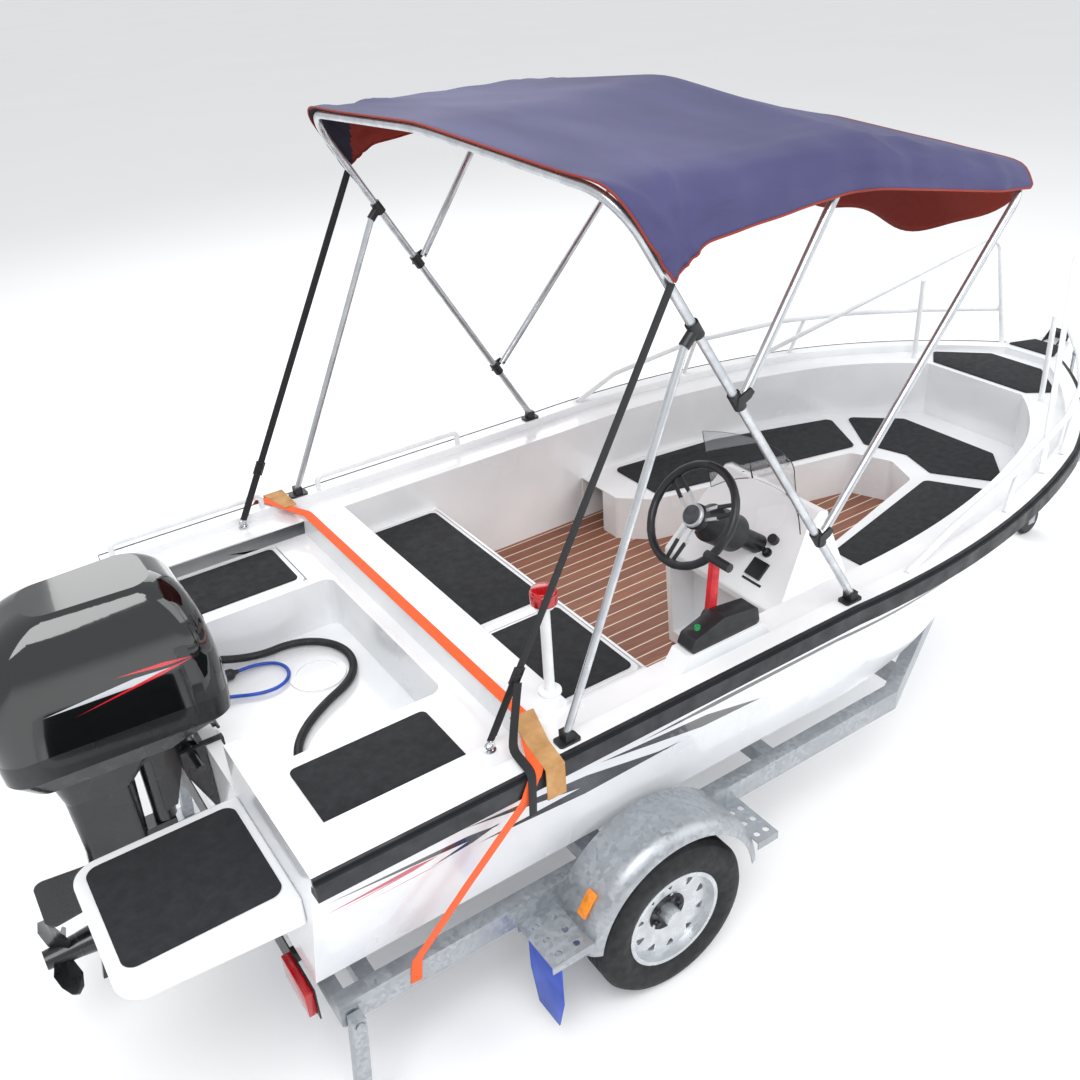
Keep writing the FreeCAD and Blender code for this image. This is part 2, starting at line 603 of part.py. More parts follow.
def build_rails():
    low_rail = [(2060.0, 0.0), (2260.0, 80.0), (2650.0, 140.0), (3100.0, 160.0), (3400.0, 160.0), (3680.0, 160.0)]
    points = [(x, sheer_at(x) - RAIL_INSET, SHEER_Z + z) for x, z in low_rail] + [(3930.0, 170.0, SHEER_Z + 160)]
    rail = pipe(points, 11, [60, 250, 400, 400, 250, 120])
    posts = []
    for x, lean in ((2620.0, 60.0), (3140.0, 60.0)):
        y = sheer_at(x) - RAIL_INSET
        y_top = sheer_at(x + lean) - RAIL_INSET
        posts.append(rod((x, y, SHEER_Z), (x + lean, y_top, SHEER_Z + 148), 9))
    foot = (2950.0, sheer_at(2950.0) - RAIL_INSET - 14, SHEER_Z)
    pulpit = pipe([foot, (3860.0, 185.0, 1690.0), (3945.0, 150.0, SHEER_Z)], 11, 60)
    mid_post = rod((3560.0, 330.0, DECK_Z), (3560.0, 326.0, 1508.0), 11)
    side = fuse([rail, pulpit] + posts)
    side = side.fuse(mid_post).cut(nodes["deck_liner"]).cut(nodes["rub_rail"])
    grab = []
    for x0, x1 in ((40.0, 600.0), (830.0, 1450.0)):
        y = HALF_BEAM - RAIL_INSET
        grab.append(pipe([(x0, y, SHEER_Z), (x0, y, SHEER_Z + 45), (x1, y, SHEER_Z + 45), (x1, y, SHEER_Z)], 10, 22))
    nodes["deck_rails"] = Part.makeCompound([side, mirror(side)] + grab)

    roller = rod((4150, -34, SHEER_Z + 30), (4150, 34, SHEER_Z + 30), 22)
    cheeks = [side_profile([(4080, SHEER_Z), (4150, SHEER_Z + 60), (4178, SHEER_Z + 30), (4165, SHEER_Z)], y, y + 4)
              for y in (-38.0, 34.0)]
    nodes["bow_roller"] = fuse([roller] + cheeks)


MAIN_FOOT = (1808.0, SHEER_Z + 24)
MAIN_TOP = (1000.0, 2522.0)
REAR_FOOT = (746.0, SHEER_Z + 24)
MID_TOP = (MAIN_TOP[0] + 740, MAIN_TOP[1] - 22)
FRONT_TOP = (MAIN_TOP[0] + 1475, MAIN_TOP[1] - 192)
CROWN = 60.0
MID_CROWN = 110.0


def on_main_leg(share):
    """Point on the main bow's leg, from its foot to its top corner."""
    return tuple(foot + (top - foot) * share for foot, top in zip(MAIN_FOOT, MAIN_TOP))


KNUCKLE_LOW = on_main_leg(0.187)
KNUCKLE_MID = on_main_leg(0.573)
KNUCKLE_HIGH = on_main_leg(0.739)


def leg_y(z):
    """Half-width of the frame, which narrows towards the top."""
    share = (z - SHEER_Z) / (MAIN_TOP[1] - SHEER_Z)
    return FOOT_Y + (BOW_TOP_Y - FOOT_Y) * share


def pivot_of(knuckle):
    """Pivot in front of the main bow's leg."""
    lean = lean_of(MAIN_FOOT, MAIN_TOP)
    ahead = V(lean.z, 0, -lean.x)
    return knuckle[0] + ahead.x * KNUCKLE_OFFSET, knuckle[1] + ahead.z * KNUCKLE_OFFSET


def hoop(foot, top, crown):
    """Tube from one side's pivot up, across the boat and down again."""
    peak = peak_of(foot, top, crown)
    y_foot, y_top = leg_y(foot[1]), leg_y(top[1])
    points = [(foot[0], y_foot, foot[1]), (top[0], y_top, top[1]), (peak[0], 0, peak[1]),
              (top[0], -y_top, top[1]), (foot[0], -y_foot, foot[1])]
    return pipe(points, POLE_RADIUS, [130, 1500, 130])


def swinging_hoop(pivot, top, crown):
    """Hoop whose flattened ends turn on the knuckles' pins."""
    leg = lean_of(pivot, top)
    foot = (pivot[0] - leg.x * EYE_END, pivot[1] - leg.z * EYE_END)
    bore = rod((pivot[0], -FOOT_Y - 50, pivot[1]), (pivot[0], FOOT_Y + 50, pivot[1]), PIN_RADIUS + PIN_CLEAR)
    return hoop(foot, top, crown).cut(bore)


def build_canopy_frame():
    nodes["canopy_main_bow"] = hoop(MAIN_FOOT, MAIN_TOP, CROWN)
    rear_top = (KNUCKLE_HIGH[0], KNUCKLE_HIGH[1])
    pole = rod((REAR_FOOT[0], leg_y(REAR_FOOT[1]), REAR_FOOT[1]),
               (rear_top[0] - 30, leg_y(rear_top[1]), rear_top[1] - 32), POLE_RADIUS - 1.5)
    nodes["canopy_rear_poles"] = both(pole)
    mid_pivot, front_pivot = pivot_of(KNUCKLE_MID), pivot_of(KNUCKLE_LOW)
    nodes["canopy_mid_bow"] = swinging_hoop(mid_pivot, MID_TOP, MID_CROWN)
    nodes["canopy_front_bow"] = swinging_hoop(front_pivot, FRONT_TOP, CROWN)

    lean = lean_of(MAIN_FOOT, MAIN_TOP)
    fittings = []
    for knuckle in (KNUCKLE_LOW, KNUCKLE_MID):
        y = leg_y(knuckle[1])
        middle = V(knuckle[0], y, knuckle[1])
        sleeve = Part.makeCylinder(POLE_RADIUS + 5, 50, middle - lean * 25, lean)
        pivot = pivot_of(knuckle)
        ear = rod((knuckle[0], y - 26, knuckle[1]), (knuckle[0], y - 18, knuckle[1]), 17)
        link = side_profile([(knuckle[0] - 12, knuckle[1] - 16), (pivot[0], pivot[1] - 14),
                             (pivot[0] + 12, pivot[1]), (pivot[0], pivot[1] + 14),
                             (knuckle[0] - 12, knuckle[1] + 16)], y + 14, y + 20)
        pin = rod((pivot[0], y - 14, pivot[1]), (pivot[0], y + 20, pivot[1]), PIN_RADIUS)
        fittings.append(fuse([sleeve, link, pin]))
    for x, z in (MAIN_FOOT, REAR_FOOT):
        y = leg_y(z)
        base = rounded_plan([(x - 34, y - 22), (x + 34, y - 22), (x + 34, y + 22), (x - 34, y + 22)], 10,
                            SHEER_Z, SHEER_Z + 7)
        fork = box(x - 14, x + 14, y - 17, y + 17, SHEER_Z + 5, SHEER_Z + 34)
        fittings.append(fuse([base, fork]))
    top_y = leg_y(KNUCKLE_HIGH[1])
    high = V(KNUCKLE_HIGH[0], top_y, KNUCKLE_HIGH[1])
    collar = Part.makeCylinder(POLE_RADIUS + 5, 44, high - lean * 22, lean)
    arm = rod((high.x, top_y, high.z), (KNUCKLE_HIGH[0] - 34, top_y, KNUCKLE_HIGH[1] - 36), 15)
    fittings.append(fuse([collar, arm]))
    shaped = [part.cut(nodes["canopy_main_bow"]).cut(pole) for part in fittings]
    shaped = shaped + [mirror(part) for part in shaped]
    nodes["canopy_knuckles"] = Part.makeCompound(shaped)


def lean_of(foot, top):
    return V(top[0] - foot[0], 0, top[1] - foot[1]).normalize()


def peak_of(foot, top, crown):
    """Middle of a hoop's cross tube."""
    leg = lean_of(foot, top)
    return top[0] + leg.x * crown, top[1] + leg.z * crown


# distance ahead of the main bow's top corner, drop of the side edge below it, fall from the middle to the shoulder
CANOPY_EDGE = [(-50.0, 204.0, 48.0), (230.0, 137.0, 59.0), (680.0, 107.0, 80.0), (802.6, 118.0, 84.0),
               (1290.0, 212.0, 55.0), (1545.0, 232.0, 40.0)]
EDGE_FLARE = 0.09
SIDE_ROOM = 4.0


def build_canopy():
    """Cloth over the three bows, as one thin shell with drooping sides."""
    mid_pivot, front_pivot = pivot_of(KNUCKLE_MID), pivot_of(KNUCKLE_LOW)
    peaks = [peak_of(MAIN_FOOT, MAIN_TOP, CROWN), peak_of(mid_pivot, MID_TOP, MID_CROWN),
             peak_of(front_pivot, FRONT_TOP, CROWN)]
    over = POLE_RADIUS + 2 + CANOPY_THICK
    rear_lean, front_lean = lean_of(MAIN_FOOT, MAIN_TOP), lean_of(front_pivot, FRONT_TOP)
    # the end sections lie in the planes of the main and the front bow
    between = [0] * (len(CANOPY_EDGE) - 2)
    slants = [-rear_lean.x / rear_lean.z] + between + [-front_lean.x / front_lean.z]

    def top_at(x):
        i = 0 if x < peaks[1][0] else 1
        (x0, z0), (x1, z1) = peaks[i], peaks[i + 1]
        return z0 + (z1 - z0) * (x - x0) / (x1 - x0) + over

    def section(x, edge, fall, slant, inset, move):
        high = top_at(x)
        top = high - inset
        half = BOW_TOP_Y + over + SIDE_ROOM - inset
        shoulder = half - 62
        bend = top - fall - 45
        side = [(half + EDGE_FLARE * (bend - edge), edge), (half, bend), (shoulder, top - fall)]
        outline = side + [(0, top)] + [(-y, z) for y, z in reversed(side)]
        return [V(x + move + slant * (high - z), y, z) for y, z in outline]

    def body(inset, reach):
        wires = []
        moves = [-reach] + between + [reach]
        for (ahead, drop, fall), slant, move in zip(CANOPY_EDGE, slants, moves):
            outline = section(MAIN_TOP[0] + ahead, MAIN_TOP[1] - drop - reach, fall, slant, inset, move)
            wires.append(Part.makePolygon(outline + [outline[0]]))
        return Part.makeLoft(wires, True, True)

    nodes["canopy"] = body(0, 0).cut(body(CANOPY_THICK, 5))


def build_straps():
    hem = (MAIN_TOP[0] + 125, BOW_TOP_Y + 34, MAIN_TOP[1] - 210)
    straps = []
    for side, eye_x, eye_in in ((-1, 580.0, 155.0), (1, 500.0, 85.0)):
        eye_y = side * (HALF_BEAM - eye_in)
        top = (hem[0], side * hem[1], hem[2])
        foot = (eye_x, eye_y, DECK_Z + 18)
        webbing = band([top, foot], (1, 0, 0), 25, 2.5)
        up = (V(*top) - V(*foot)).normalize()
        buckle = band([tuple(V(*foot) + up * 195), tuple(V(*foot) + up * 245)], (1, 0, 0), 34, 8)
        ring = Part.makeTorus(12, 3.5, V(eye_x, eye_y, DECK_Z + 16), Y_AXIS)
        plate = Part.makeCylinder(18, 4, V(eye_x, eye_y, DECK_Z), Z_AXIS)
        straps += [fuse([webbing, buckle, ring, plate])]
    outside = HALF_BEAM + RAIL_RUBBER
    tail = band([(668.0, -HALF_BEAM + 128, SHEER_Z + 170), (604.0, -HALF_BEAM + 75, SHEER_Z + 20),
                 (596.0, -outside - 8, SHEER_Z + 12), (585.0, -outside - 15, SHEER_Z - 120)], (1, 0.1, 0.2), 25, 2.5)
    nodes["canopy_straps"] = Part.makeCompound(straps + [tail])

    rail_side = RAIL_Y + RAIL_WIDTH / 2 + 3
    half_route = [(262.0, -rail_side, RAIL_TOP - 65), (275.0, -rail_side, RAIL_TOP + 14),
                  (572.0, -outside - 7, SHEER_Z - RAIL_RUBBER_HEIGHT - 10), (612.0, -outside - 4, SHEER_Z + 4),
                  (648.0, GUNWALE_WIDTH - HALF_BEAM, SHEER_Z + 4),
                  (705.0, -COCKPIT_HALF + 4, AFT_DECK_Z + RIDGE_RISE + 4)]
    route = half_route + [(x, -y, z) for x, y, z in reversed(half_route)]
    nodes["tie_down_strap"] = band(route, (1, 0, 0), 35, 3)

    # x, distance outboard of the gunwale's edge
    starboard_card = [(632, 39), (690, 39), (704, -55), (745, -190), (672, -197), (646, -65)]
    port_card = [(632, 39), (708, 39), (706, -110), (660, -110)]
    cards = []
    for side, corners, drop_x in ((-1, starboard_card, 690.0), (1, port_card, 708.0)):
        top = plan_profile([(x, side * (HALF_BEAM + out)) for x, out in corners], SHEER_Z + 4.3, SHEER_Z + 7.3)
        lip = [side * (HALF_BEAM + 36), side * (HALF_BEAM + 39)]
        drop = box(632.0, drop_x, min(lip), max(lip), SHEER_Z - 95, SHEER_Z + 7.3)
        cards.append(fuse([top, drop]))
    nodes["edge_cards"] = Part.makeCompound(cards)


def cowl_section(x_front, x_back, half, z, corner):
    back_half = half * 0.82
    return rounded([(x_front, -half, z), (x_front, half, z), (x_back, back_half, z), (x_back, -back_half, z)], corner)


def build_motor():
    top = TILT_Z
    seat = BOARD_Z
    hook_top = seat + 7
    hook_inner = BOARD_THICK + 11
    hooks = []
    for y in (-95.0, 75.0):
        hooks.append(side_profile([(-14, top - 250), (-14, hook_top), (hook_inner, hook_top),
                                   (hook_inner, WELL_Z + 8), (BOARD_THICK + 3, WELL_Z + 8),
                                   (BOARD_THICK + 3, seat), (-3, seat), (-3, top - 250)], y, y + 20))
        hooks.append(side_profile([(-75, top - 60), (-75, top + 20), (-14, hook_top), (-14, top - 220)], y, y + 14))
        screw_y = y + 10
        screw_z = WELL_Z + 24
        handle_x = BOARD_THICK + 34
        hooks.append(rod((BOARD_THICK + 3, screw_y, screw_z), (handle_x, screw_y, screw_z), 8))
        hooks.append(rod((handle_x, screw_y - 22, screw_z), (handle_x, screw_y + 22, screw_z), 5))
        hooks.append(rod((BOARD_THICK + 0.2, screw_y, screw_z), (BOARD_THICK + 7, screw_y, screw_z), 20))
    tilt_tube = rod((TILT_X, -170, top), (TILT_X, 170, top), 13)
    cross = box(-14, -4, -80, 80, top - 240, top - 60)
    nodes["clamp_bracket"] = fuse(hooks + [tilt_tube, cross])

    sleeve = tube((TILT_X, -52, top), (TILT_X, 52, top), 24, 13.4)
    spine = tube((STEER_X, 0, top - 240), (STEER_X, 0, top + 18), 34, 20.4)
    arms = side_profile([(TILT_X - 18, top - 17), (TILT_X - 18, top + 20), (STEER_X, top + 18), (STEER_X, top - 200),
                         (STEER_X + 38, top - 190)], -42, 42)
    bore = rod((STEER_X, 0, top - 260), (STEER_X, 0, top + 40), 20.4)
    pin_bore = rod((TILT_X, -60, top), (TILT_X, 60, top), 13.4)
    nodes["swivel_bracket"] = fuse([sleeve, spine, arms]).cut(bore).cut(pin_bore)

    post = rod((STEER_X, 0, top - 275), (STEER_X, 0, top + 60), 20)
    upper = rounded_side([(STEER_X - 60, top + 22), (STEER_X - 60, top + 95), (STEER_X + 60, top + 95),
                          (STEER_X + 40, top + 22)], 8, -70, 70)
    lower = box(STEER_X - 90, STEER_X + 24, -32, 32, top - 300, top - 245)
    steering_post = fuse([post, upper, lower])

    leg_sections = []
    for z, front, back, half in ((top + 95, -95.0, -430.0, 130.0), (top - 40, -205.0, -400.0, 82.0),
                                 (top - 240, -212.0, -392.0, 60.0), (top - 370, -215.0, -400.0, 46.0)):
        leg_sections.append(rounded([(front, -half * 0.7, z), (front, half * 0.7, z), (back, half * 0.6, z),
                                     (back, -half * 0.6, z)], half * 0.4))
    leg = Part.makeLoft(leg_sections, True, True)
    leg = leg.cut(rod((STEER_X, 0, top - 245), (STEER_X, 0, top + 22), 44))
    nodes["motor_leg"] = fuse([leg.Solids[0], steering_post])

    prop_z = TILT_Z - PROP_DROP
    low_sections = []
    for z, front, back, half in ((top - 370, -215.0, -400.0, 46.0), (prop_z + 60, -232.0, -425.0, 24.0),
                                 (prop_z, -240.0, -430.0, 20.0)):
        low_sections.append(rounded([(front, -half * 0.5, z), (front, half * 0.5, z), (back, half * 0.5, z),
                                     (back, -half * 0.5, z)], half * 0.45))
    strut = Part.makeLoft(low_sections, True, True)
    plate = rounded_plan([(-225, -60), (-225, 60), (-560, 105), (-560, -105)], 30, top - 380, top - 372)
    nose_x, tail_x = -175.0, -500.0
    outline = [V(nose_x, 0, 0), V(nose_x - 40, 0, 32), V(nose_x - 110, 0, 45), V(tail_x + 60, 0, 45),
               V(tail_x, 0, 38), V(tail_x, 0, 0)]
    wire = Part.Wire([Part.Arc(outline[0], outline[1], outline[2]).toShape(),
                      Part.LineSegment(outline[2], outline[3]).toShape(),
                      Part.LineSegment(outline[3], outline[4]).toShape(),
                      Part.LineSegment(outline[4], outline[5]).toShape(),
                      Part.LineSegment(outline[5], outline[0]).toShape()])
    bullet = Part.Face(wire).revolve(V(0, 0, 0), X_AXIS, 360)
    bullet.translate(V(0, 0, prop_z))
    skeg = side_profile([(-215, prop_z - 30), (-445, prop_z - 30), (-470, prop_z - 175),
                         (-400, prop_z - 178)], -7, 7)
    tab = side_profile([(-440, top - 379), (-520, top - 379), (-500, top - 425), (-455, top - 425)], -6, 6)
    nodes["gearcase"] = fuse([strut, plate, bullet, skeg, tab])

    hub = Part.makeCone(38, 30, 99.7, V(tail_x - 0.3, 0, prop_z), V(-1, 0, 0))
    blades = []
    for i in range(3):
        wires = []
        for radius, half, twist in ((26, 34, 42), (70, 62, 52), (110, 56, 60), (PROP_RADIUS, 22, 64)):
            angle = math.radians(twist)
            along = V(-math.cos(angle), math.sin(angle), 0) * half
            thick = V(math.sin(angle), math.cos(angle), 0) * 3.5
            middle = V(tail_x - 54, 0, radius)
            wires.append(Part.makePolygon([middle - along, middle + thick, middle + along, middle - thick,
                                           middle - along]))
        blade = Part.makeLoft(wires, True, True)
        blade.rotate(V(tail_x - 54, 0, 0), X_AXIS, 120 * i)
        blade.translate(V(0, 0, prop_z))
        blades.append(blade)
    nodes["propeller"] = fuse([hub] + blades)

    lower_pan = Part.makeLoft([cowl_section(-45, -470, 150, top + 95, 60),
                               cowl_section(95, -520, 190, top + 160, 70),
                               cowl_section(100, -525, MOTOR_HALF, top + 235, 74)], True, True)
    hollow = box(-430, -20, -120, 120, top + 120, top + 240)
    nodes["cowl_pan"] = lower_pan.cut(hollow)
    seam = top + 235
    cover = Part.makeLoft([cowl_section(100, -525, MOTOR_HALF, seam, 74),
                           cowl_section(96, -530, MOTOR_HALF + 3, seam + 90, 76),
                           cowl_section(80, -510, MOTOR_HALF - 6, seam + 220, 80),
                           cowl_section(52, -455, MOTOR_HALF - 36, seam + 310, 84),
                           cowl_section(-15, -345, MOTOR_HALF - 90, seam + 368, 60)], True, False)
    inside = box(-420, -20, -110, 110, seam - 1, seam + 262)
    nodes["cowl_cover"] = cover.cut(inside)
    nodes["engine_block"] = box(-400, -35, -95, 95, top + 120, seam + 240)


# run, turn to port in degrees at its end, rise
CONTROL_RUNS = [(38, -15, 0), (39, -15, 5), (39, -15, 9), (39, -15, 6), (39, -15, 2), (45, -15, -6),
                (70, 3, -20), (90, -2, -40), (90, 2, -20), (75, -24, 0), (84, -27, 0), (88, -28, 0),
                (88, -28, 0), (86, -26, 0), (86, -24, 0), (110, 8, 0), (110, 14, 0), (95, 20, 0), (90, 14, 0), (92, 8, 0)]
FUEL_RUNS = [(42, -30, 0), (44, -30, -14), (46, -30, -17), (58, -30, -16), (60, 10, 0), (50, 20, 0),
             (46, 30, 0), (42, 30, 0), (42, 30, 0), (42, 30, 0), (42, 30, 0), (42, 30, 0), (42, 0, 8)]


def walk(start, runs):
    """Corner points of a hose that sets out to port and turns after each run."""
    x, y, z = start
    heading = 90.0
    points = [start]
    for run, turn, rise in runs:
        x += run * math.cos(math.radians(heading))
        y += run * math.sin(math.radians(heading))
        z += rise
        points.append((x, y, z))
        heading += turn
    return points


def build_hoses():
    route = walk((TILT_X, 170.0, TILT_Z), CONTROL_RUNS)
    route.append((route[-1][0], -WELL_HALF, route[-1][2]))
    nodes["control_hose"] = cord(route, 14)

    line = walk((BOARD_THICK + 7.5, 95.0, WELL_Z + 60), FUEL_RUNS)
    x, y, z = line[-1]
    line.append((x - 40, y, z))
    nodes["fuel_hose"] = cord(line, 6)
    start, aft = V(x - 40, y, z), V(-1, 0, 0)
    nodes["primer_bulb"] = fuse([Part.makeCone(8, 19, 20, start, aft),
                                 Part.makeCylinder(19, 60, start + aft * 20, aft),
                                 Part.makeCone(19, 8, 20, start + aft * 80, aft)])


def build_trailer_frame():
    low = RAIL_TOP - RAIL_HEIGHT
    bars = []
    outer = RAIL_Y + RAIL_WIDTH / 2
    inner = RAIL_Y - RAIL_WIDTH / 2
    bend = RAIL_BEND_X
    nose = RAIL_NOSE_X
    rail = plan_profile([(RAIL_REAR_X, inner), (RAIL_REAR_X, outer), (bend, outer), (nose, 40 + RAIL_WIDTH),
                         (nose, 40), (bend - 12, inner)], low, RAIL_TOP)
    beam = box(nose - 700, COUPLING_X - 60, -40, 40, low, RAIL_TOP)
    members = []
    for x in CROSS_X:
        half = inner if x < bend else inner - (x - bend) * (inner - 40) / (nose - bend)
        members.append(box(x, x + 50, -half, half, low, RAIL_TOP - 20))
    rear = box(RAIL_REAR_X, RAIL_REAR_X + 40, -inner, inner, low, RAIL_TOP - 10)
    bunk_half = 38
    bunk_lines = (-BUNK_Y + 70, BUNK_Y - 70)
    bunks = [box(150, CROSS_X[-1] + 100, y - bunk_half, y + bunk_half, BOTTOM_Z - 40, BOTTOM_Z)
             for y in bunk_lines]
    pads = []
    for y in bunk_lines:
        for x in CROSS_X:
            pads.append(box(x + 5, x + 45, y - 20, y + 20, RAIL_TOP - 20, BOTTOM_Z - 40))
    nodes["bunks"] = Part.makeCompound([b.cut(nodes["hull_shell"]) for b in bunks])
    nodes["trailer_frame"] = fuse([rail, mirror(rail), beam, rear] + members + pads + stand_pivots())


def build_axle():
    z = TYRE_RADIUS
    beam = box(AXLE_X - 22, AXLE_X + 22, -RAIL_Y - 8, RAIL_Y + 8, z - 22, z + 22)
    parts = [beam]
    springs = []
    low = RAIL_TOP - RAIL_HEIGHT
    for side in (1, -1):
        y = side * RAIL_Y
        parts.append(rod((AXLE_X, y, z), (AXLE_X, side * (TRACK_HALF + 46), z), 17))
        parts.append(rod((AXLE_X, side * (RAIL_Y + 32), z), (AXLE_X, side * (TRACK_HALF - 20), z), 60))
        for i, reach in enumerate((300, 215, 130)):
            z1 = z + 30 + 9 * (2 - i)
            rise = 60 * (reach / 300) ** 2
            top = Part.Arc(V(AXLE_X - reach, y - 22, z1 + rise + 8), V(AXLE_X, y - 22, z1 + 8),
                           V(AXLE_X + reach, y - 22, z1 + rise + 8)).toShape()
            base = Part.Arc(V(AXLE_X + reach, y - 22, z1 + rise), V(AXLE_X, y - 22, z1),
                            V(AXLE_X - reach, y - 22, z1 + rise)).toShape()
            ends = [Part.LineSegment(V(AXLE_X + s * reach, y - 22, z1 + rise + 8),
                                     V(AXLE_X + s * reach, y - 22, z1 + rise)).toShape() for s in (1, -1)]
            springs.append(Part.Face(Part.Wire([top, ends[0], base, ends[1]])).extrude(V(0, 44, 0)))
        springs.append(box(AXLE_X - 45, AXLE_X + 45, y - 30, y + 30, z + 22, z + 31))
        for s in (1, -1):
            x = AXLE_X + s * 300
            hanger = [(x - 24, low), (x + 24, low), (x + 14, z + 92), (x - 14, z + 92)]
            springs.append(side_profile(hanger, y - 25, y + 25))
    nodes["axle"] = fuse(parts)
    nodes["leaf_springs"] = fuse(springs).cut(nodes["trailer_frame"])


def build_wheels():
    half = TYRE_WIDTH / 2
    outer, bead = TYRE_RADIUS, RIM_RADIUS
    wall = outer - bead
    points = [V(-half + 18, 0, bead), V(-half, 0, bead + 0.45 * wall), V(-half + 14, 0, outer - 12),
              V(-half + 30, 0, outer), V(half - 30, 0, outer), V(half - 14, 0, outer - 12),
              V(half, 0, bead + 0.45 * wall), V(half - 18, 0, bead)]
    wire = Part.Wire([Part.Arc(points[0], points[1], points[2]).toShape(),
                      Part.LineSegment(points[2], points[3]).toShape(),
                      Part.LineSegment(points[3], points[4]).toShape(),
                      Part.LineSegment(points[4], points[5]).toShape(),
                      Part.Arc(points[5], points[6], points[7]).toShape(),
                      Part.LineSegment(points[7], points[0]).toShape()])
    tyre = Part.Face(wire).revolve(V(0, 0, 0), X_AXIS, 360)
    for y in (-24.0, 0.0, 24.0):
        groove = Part.makeCylinder(outer + 5, 6, V(y - 3, 0, 0), X_AXIS)
        tyre = tyre.cut(groove.cut(Part.makeCylinder(outer - 7, 6, V(y - 3, 0, 0), X_AXIS)))
    lip = bead + 4
    profile = [(-half + 12, lip), (-half + 12, bead - 10), (-half + 40, bead - 14), (-20, bead - 30),
               (half - 40, bead - 14), (half - 12, bead - 10), (half - 12, lip), (half - 16, lip),
               (half - 19, bead), (-half + 19, bead), (-half + 16, lip)]
    barrel = face([(x, 0, z) for x, z in profile]).revolve(V(0, 0, 0), X_AXIS, 360)
    dish = face([(8, 0, 20), (14, 0, 20), (22, 0, 70), (40, 0, 100), (34, 0, bead - 13), (28, 0, bead - 13),
                 (34, 0, 100), (16, 0, 70)]).revolve(V(0, 0, 0), X_AXIS, 360)
    for i in range(10):
        hole = rounded([(0, -17, 140), (0, 17, 140), (0, 0, 106)], 5)
        hole = Part.Face(hole).extrude(V(80, 0, 0))
        hole.rotate(V(0, 0, 0), X_AXIS, 36 * i)
        dish = dish.cut(hole)
    hub = Part.makeCylinder(52, 14, V(-4, 0, 0), X_AXIS).cut(Part.makeCylinder(17.4, 30, V(-6, 0, 0), X_AXIS))
    cap = Part.makeCylinder(30, 56, V(8, 0, 0), X_AXIS).cut(Part.makeCylinder(25, 50, V(6, 0, 0), X_AXIS))
    nuts = [Part.makeCylinder(10, 18, V(14, 50 * math.cos(a), 50 * math.sin(a)), X_AXIS)
            for a in (math.radians(72 * i) for i in range(5))]
    centre = Part.makeCylinder(26, 6, V(8, 0, 0), X_AXIS).cut(Part.makeCylinder(17.4, 6, V(8, 0, 0), X_AXIS))
    rim = fuse([barrel, dish.fuse(centre), hub, cap] + nuts)
    for side, turn in (("port", 90), ("starboard", -90)):
        for kind, shape in (("tyre", tyre.cut(rim)), ("rim", rim)):
            placed = shape.copy()
            placed.rotate(V(0, 0, 0), Z_AXIS, turn)
            placed.translate(V(AXLE_X, TRACK_HALF if side == "port" else -TRACK_HALF, TYRE_RADIUS))
            nodes[kind + "_" + side] = placed


def build_guards():
    y0 = RAIL_Y + RAIL_WIDTH / 2
    y1 = y0 + GUARD_WIDTH
    x, z = AXLE_X - 15, TYRE_RADIUS + 60
    low = STEP_PLATE_Z - 70

    def arch(radius, side, bottom, corner):
        """Solid half drum over the wheel with a rounded outer edge."""
        drum = Part.makeCylinder(radius, side - y0 + 1, V(x, y0 - 1, z), Y_AXIS)
        drum = drum.common(box(x - 500, x + 500, y0 - 5, side, bottom, z + 500))
        edge = [e for e in drum.Edges if e.Length > 400 and e.BoundBox.YMin > side - 1 and e.BoundBox.ZMax > z + 200]
        return drum.makeFillet(corner, edge)

    shell = arch(GUARD_RADIUS, y1, low, GUARD_ROUND).common(box(x - 500, x + 500, y0, y1, low, z + 500))
    space = arch(GUARD_RADIUS - GUARD_SHEET, y1 - GUARD_SHEET, low - 10, GUARD_ROUND - GUARD_SHEET)
    wheel_hole = Part.makeCylinder(GUARD_RADIUS - 45, 80, V(x, y1 - 62, z), Y_AXIS)
    guard = shell.cut(space).cut(wheel_hole)
    plates = []
    reach = math.sqrt(GUARD_RADIUS ** 2 - (STEP_PLATE_Z - z) ** 2) - GUARD_SHEET
    for x0, x1 in ((x - GUARD_RADIUS - 125, x - reach), (x + reach, x + GUARD_RADIUS + 65)):
        plate = box(x0, x1, y0, y1 - 6, STEP_PLATE_Z - 4, STEP_PLATE_Z)
        skirt = box(x0, x1, y1 - 9, y1 - 6, STEP_PLATE_Z - 30, STEP_PLATE_Z)
        web = box(x0, x1, y0, y0 + 4, STEP_PLATE_Z - 30, STEP_PLATE_Z)
        for column in (0.28, 0.72):
            for row in (0.2, 0.5, 0.8):
                hole_x, hole_y = x0 + column * (x1 - x0), y0 + row * (y1 - y0)
                plate = plate.cut(Part.makeCylinder(11, 20, V(hole_x, hole_y, STEP_PLATE_Z - 10), Z_AXIS))
        plates.append(fuse([plate, skirt, web]).cut(space))
    nodes["mudguards"] = both(fuse([guard] + plates))
    flap_x = x - GUARD_RADIUS - 95
    top = STEP_PLATE_Z - 4
    flap = face([(flap_x, y0 + 6, top), (flap_x, y1 - 12, top), (flap_x, y1 - 12, 260), (flap_x, y1 - 45, 130),
                 (flap_x, y0 + 40, 130), (flap_x, y0 + 6, 260)]).extrude(V(5, 0, 0))
    nodes["mud_flaps"] = both(flap)
    marker = box(x - 42, x + 42, y1 - 96, y1 - 60, z + GUARD_RADIUS - 5, z + GUARD_RADIUS + 11)
    marker.rotate(V(x, 0, z), Y_AXIS, -57)
    return both(marker.cut(shell))


